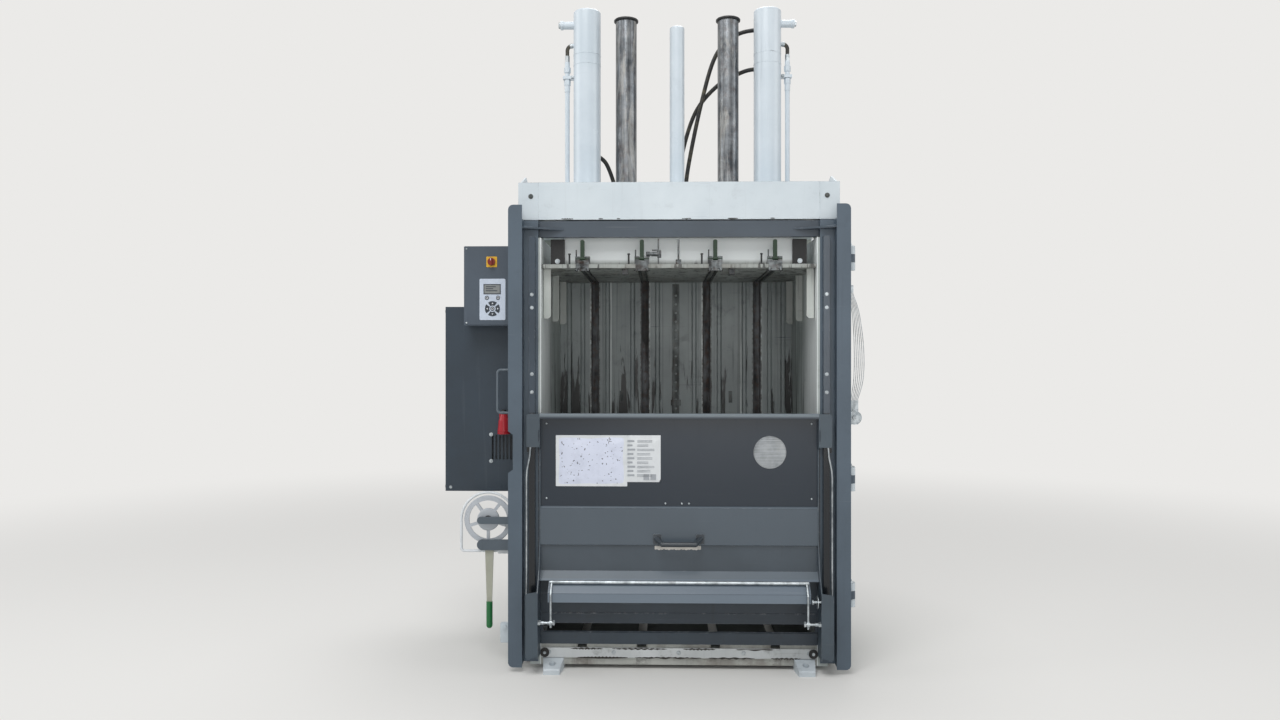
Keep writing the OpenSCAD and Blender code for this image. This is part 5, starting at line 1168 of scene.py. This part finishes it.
HOSE_R = 0.010
BEAM_TOP = beam_high[2]
port_x, port_y, port_z = 0.4147, 0.074, 2.947
GAP, LEAD, HOSE_STEP = 0.0003, 0.020, 0.190
LOW_PORT = BEAM_TOP + 0.220
hose_routes = {
    "return_hose_a": [(0.040, 0.110, BEAM_TOP + GAP), (0.040, 0.110, BEAM_TOP + LEAD), (0.058, 0.112, 2.300),
        (0.120, 0.112, 2.600), (0.190, 0.100, 2.830), (0.290, 0.084, 2.925), (port_x - LEAD, port_y, port_z),
        (port_x, port_y, port_z)],
    "return_hose_b": [(0.0, 0.150, BEAM_TOP + GAP), (0.0, 0.150, BEAM_TOP + LEAD), (0.020, 0.150, 2.330),
        (0.090, 0.146, 2.560), (0.200, 0.120, 2.690), (0.320, 0.084, 2.745),
        (port_x - LEAD, port_y, port_z - HOSE_STEP), (port_x, port_y, port_z - HOSE_STEP)],
    "return_hose_c": [(-port_x, port_y, LOW_PORT), (LEAD - port_x, port_y, LOW_PORT),
    (-0.345, 0.086, LOW_PORT - 0.040),
        (-0.306, 0.098, BEAM_TOP + 0.080), (-0.300, 0.100, BEAM_TOP + LEAD), (-0.300, 0.100, BEAM_TOP + GAP)],
}
ferrules, collars = [], []
hoses = []
for name, points in hose_routes.items():
    route = [Vector(points[0])] + smooth_route(points[1:-1], 8) + [Vector(points[-1])]
    hose, length = cable(name, route, HOSE_R, hose_rubber, "chassis")
    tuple(route[0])
    hoses.append(hose)
    for here, there in ((route[0], route[1]), (route[-1], route[-2])):
        along = (there - here).normalized()
        ferrules.append(tube([here + along * 0.002, here + along * 0.040], HOSE_R + 0.0022, 20))
        collars.append(spun([(0.0145, 0), (0.0145, 0.012), (0.013, 0.014)], here + along * 0.002, along, 6))

# %% Pressure elbows
ELBOW_X, ELBOW_Z, ELBOW_R, ELBOW_BORE = 0.501, 2.826, 0.024, 0.009
PIPE_X = ELBOW_X + ELBOW_R
elbows = []
for side in (-1, 1):
    centre = Vector((side * ELBOW_X, 0, ELBOW_Z))
    angles = [math.radians(6 * i) for i in range(16)]
    bend = [centre + ELBOW_R * Vector((side * math.sin(a), 0, math.cos(a))) for a in angles]
    drop = [Vector((side * PIPE_X, 0, ELBOW_Z - 0.008 * i)) for i in range(1, 8)]
    elbows.append(tube(bend + drop, ELBOW_BORE, 20))
    ferrules.append(tube([(side * 0.499, 0, 2.850), (side * 0.512, 0, 2.8475)], 0.0115, 20))
    ferrules.append(tube([(side * PIPE_X, 0, 2.766), (side * PIPE_X, 0, 2.800)], 0.0112, 20))
elbow_hoses = group("pressure_elbows", elbows, hose_rubber, "chassis", smooth=True)
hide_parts("hoses")
for hose in hoses:
    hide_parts("hoses")
group("hose_ferrules", ferrules, zinc_steel, "chassis")
group("hose_collars", collars, zinc_steel, "chassis")

# %% [markdown]
# ## Spare baling wires
# Spare wires hang on the right between a hook and a green clamp, and bow outward because
# they are springy. Drawn wire is stiff enough to keep an even curve. Six are drawn.

# %% Baling wires
holder_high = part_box("strand_holder")[1]
WIRE_R, WIRE_TOP, WIRE_END = 0.0016, 1.6547, 1.1613
wire_x, wire_y = 0.795, holder_high[1] - 0.006
wires = []
for i in range(6):
    out = (20 + 8 * i) / 1000
    y = wire_y + 0.003
    points = [(wire_x - 0.016 + 0.005 * i, y, WIRE_TOP), (wire_x - 0.008 + out * 0.75, y - 0.002 * i, 1.560),
        (wire_x - 0.004 + out, y - 0.003 * i, 1.400), (wire_x - 0.006 + out, y - 0.003 * i, 1.260),
        (wire_x - 0.002 + 0.006 * i, wire_y - 0.010, WIRE_END)]
    route = smooth_route(points, 6)
    wire, length = cable(f"baling_wire_{i + 1}", route, WIRE_R, zinc_steel, "chassis", resolution=3)
    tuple(route[0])
    wires.append(wire)
for wire in wires:
    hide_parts("strands")

# %% [markdown]
# ## Small fittings
# A few last things make it read as a working machine: grip ribs and a black gland on the
# red mains inlet, grease nipples on the hinge pins, plugs in the cylinders' ports and the
# bolts of the pipe clamps.

# %% Inlet ribs and gland
inlet_low, inlet_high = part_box("mains_inlet")
inlet_x = (inlet_low[0] + inlet_high[0]) / 2
inlet_y = inlet_low[1] + 0.029
rib_profile = [(0.0296, 0), (0.0302, 0.001), (0.0302, 0.004), (0.0292, 0.005)]
ribs = [spun(rib_profile, (inlet_x, inlet_y, inlet_low[2] + h), UP, 48) for h in (0.002, 0.012)]
group("inlet_ribs", ribs, red_plastic, "chassis")
gland_profile = [(0.013, 0), (0.013, 0.012), (0.010, 0.016)]
gland = [spun(gland_profile, (inlet_x, inlet_y, inlet_high[2] - 0.0005), UP, 6)]
group("inlet_gland", gland, black_plastic, "chassis")

# %% Hinge caps and port plugs
hinge_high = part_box("hinge_brackets")[1]
hinge_x, hinge_y, PIN_UP = hinge_high[0] - 0.018, -0.325, 0.105
cap_profile = [(0.0155, 0), (0.0155, 0.003), (0.011, 0.005), (0.004, 0.006), (0.004, 0.012), (0.0028, 0.015)]
caps = []
for z in (0.262, 0.770, 1.740):
    caps.append(spun(cap_profile, (hinge_x, hinge_y, z + PIN_UP), UP, 28))
group("hinge_caps", caps, zinc_steel, "chassis")
plugs = [bolt((side * 0.557, 0, 2.947), (side, 0, 0), 0.024, 0.010, 0.0175) for side in (-1, 1)]
group("port_plugs", plugs, zinc_steel, "chassis")
clamp_bolts = [bolt((side * 0.500, -0.016, 2.695), TO_FRONT, 0.010, 0.006, 0.0085) for side in (-1, 1)]
group("clamp_bolts", clamp_bolts, zinc_steel, "chassis")

# %% [markdown]
# ## Floor, background and light
# The floor is one plain pale disc. Near the machine it is ordinary paper and takes the
# shadow, and farther out it turns step by step into the background's own tone, so no
# horizon shows from any side. The lamps are soft and large. A broad one from the upper
# front gives the slope and the shelf of the gate their pale tops, a low one reaches into
# the chamber, and the world fills the shade.

# %% Floor
BACKGROUND = "#EBEAE8"


def straight_rays(tree):
    """1 for what the camera sees directly, in a reflection or through glass."""
    rays = add(tree, "LightPath")
    seen = add(tree, "Math", {0: rays.outputs["Is Camera Ray"], 1: rays.outputs["Is Glossy Ray"]},
        operation="MAXIMUM")
    return add(tree, "Math", {0: seen.outputs[0], 1: rays.outputs["Is Transmission Ray"]},
        operation="MAXIMUM").outputs[0]


# Backdrop paper: matt and pale.
stage_mat, tree = new_material("stage_paper")
paper = add(tree, "BsdfDiffuse", {"Color": tint("#E4E3E0")})
glow = add(tree, "Emission", {"Color": tint(BACKGROUND), "Strength": 1.0})
away = add(tree, "VectorMath", {0: add(tree, "TexCoord").outputs["Object"]}, operation="LENGTH")
near = add(tree, "MapRange", {"Value": away.outputs["Value"], "From Min": 0.7, "From Max": 1.7,
    "To Max": 0.4})
far = add(tree, "MapRange", {"Value": away.outputs["Value"], "From Min": 2.2, "From Max": 8.0, "To Max": 0.6},
    interpolation_type="SMOOTHSTEP")
clear = add(tree, "Math", {0: near.outputs[0], 1: far.outputs[0]}, operation="ADD")
share = add(tree, "Math", {0: straight_rays(tree), 1: clear.outputs[0]}, operation="MULTIPLY")
pale = add(tree, "MixShader", {0: share.outputs[0], 1: paper.outputs[0], 2: glow.outputs[0]})
add(tree, "OutputMaterial", {"Surface": pale.outputs[0]})
STAGE_R = 60.0
turns = [math.radians(6 * i) for i in range(60)]
stage_points = [(STAGE_R * math.cos(a), STAGE_R * math.sin(a), 0) for a in turns]
stage_mesh = bpy.data.meshes.new("stage")
stage_mesh.from_pydata(stage_points, [], [list(range(60))])
stage_mesh.materials.append(stage_mat)
stage = bpy.data.objects.new("stage", stage_mesh)
bpy.context.collection.objects.link(stage)

# %% Lamps and world
def lamp(name, place, aim, size, power):
    """A square soft lamp that points at a place."""
    light = bpy.data.lights.new(name, "AREA")
    light.shape = "SQUARE"
    light.size = size
    light.energy = power
    holder = bpy.data.objects.new(name, light)
    holder.location = place
    holder.rotation_euler = (Vector(aim) - Vector(place)).to_track_quat("-Z", "Y").to_euler()
    holder.visible_camera = False
    bpy.context.collection.objects.link(holder)
    return holder


lamp("sky_front", (-1.2, -3.8, 6.0), (0, -0.4, 1.0), 3.4, 170)
lamp("sky_low", (0.5, -6.4, 1.9), (0, 0, 1.3), 2.6, 45)
lamp("sky_left", (-4.6, -0.6, 3.4), (0, 0, 1.2), 2.6, 48)
lamp("sky_right", (4.6, -1.4, 3.6), (0, 0, 1.2), 2.6, 40)
lamp("sky_back", (0.3, 1.4, 5.8), (0, 0, 1.8), 2.4, 75)
world = bpy.data.worlds.new("room")
world.use_nodes = True
tree = world.node_tree
tree.nodes.clear()
fill = add(tree, "Background", {"Color": tint("#F2F4F6"), "Strength": 0.42})
room = add(tree, "Background", {"Color": tint(BACKGROUND), "Strength": 1.0})
mixed = add(tree, "MixShader", {0: straight_rays(tree), 1: fill.outputs[0], 2: room.outputs[0]})
add(tree, "OutputWorld", {"Surface": mixed.outputs[0]})
bpy.context.scene.world = world
bpy.context.scene.view_settings.view_transform = "Standard"

# %% [markdown]
# ## Sizes and the end
# The finish makes the machine less than 0.1 mm bigger.
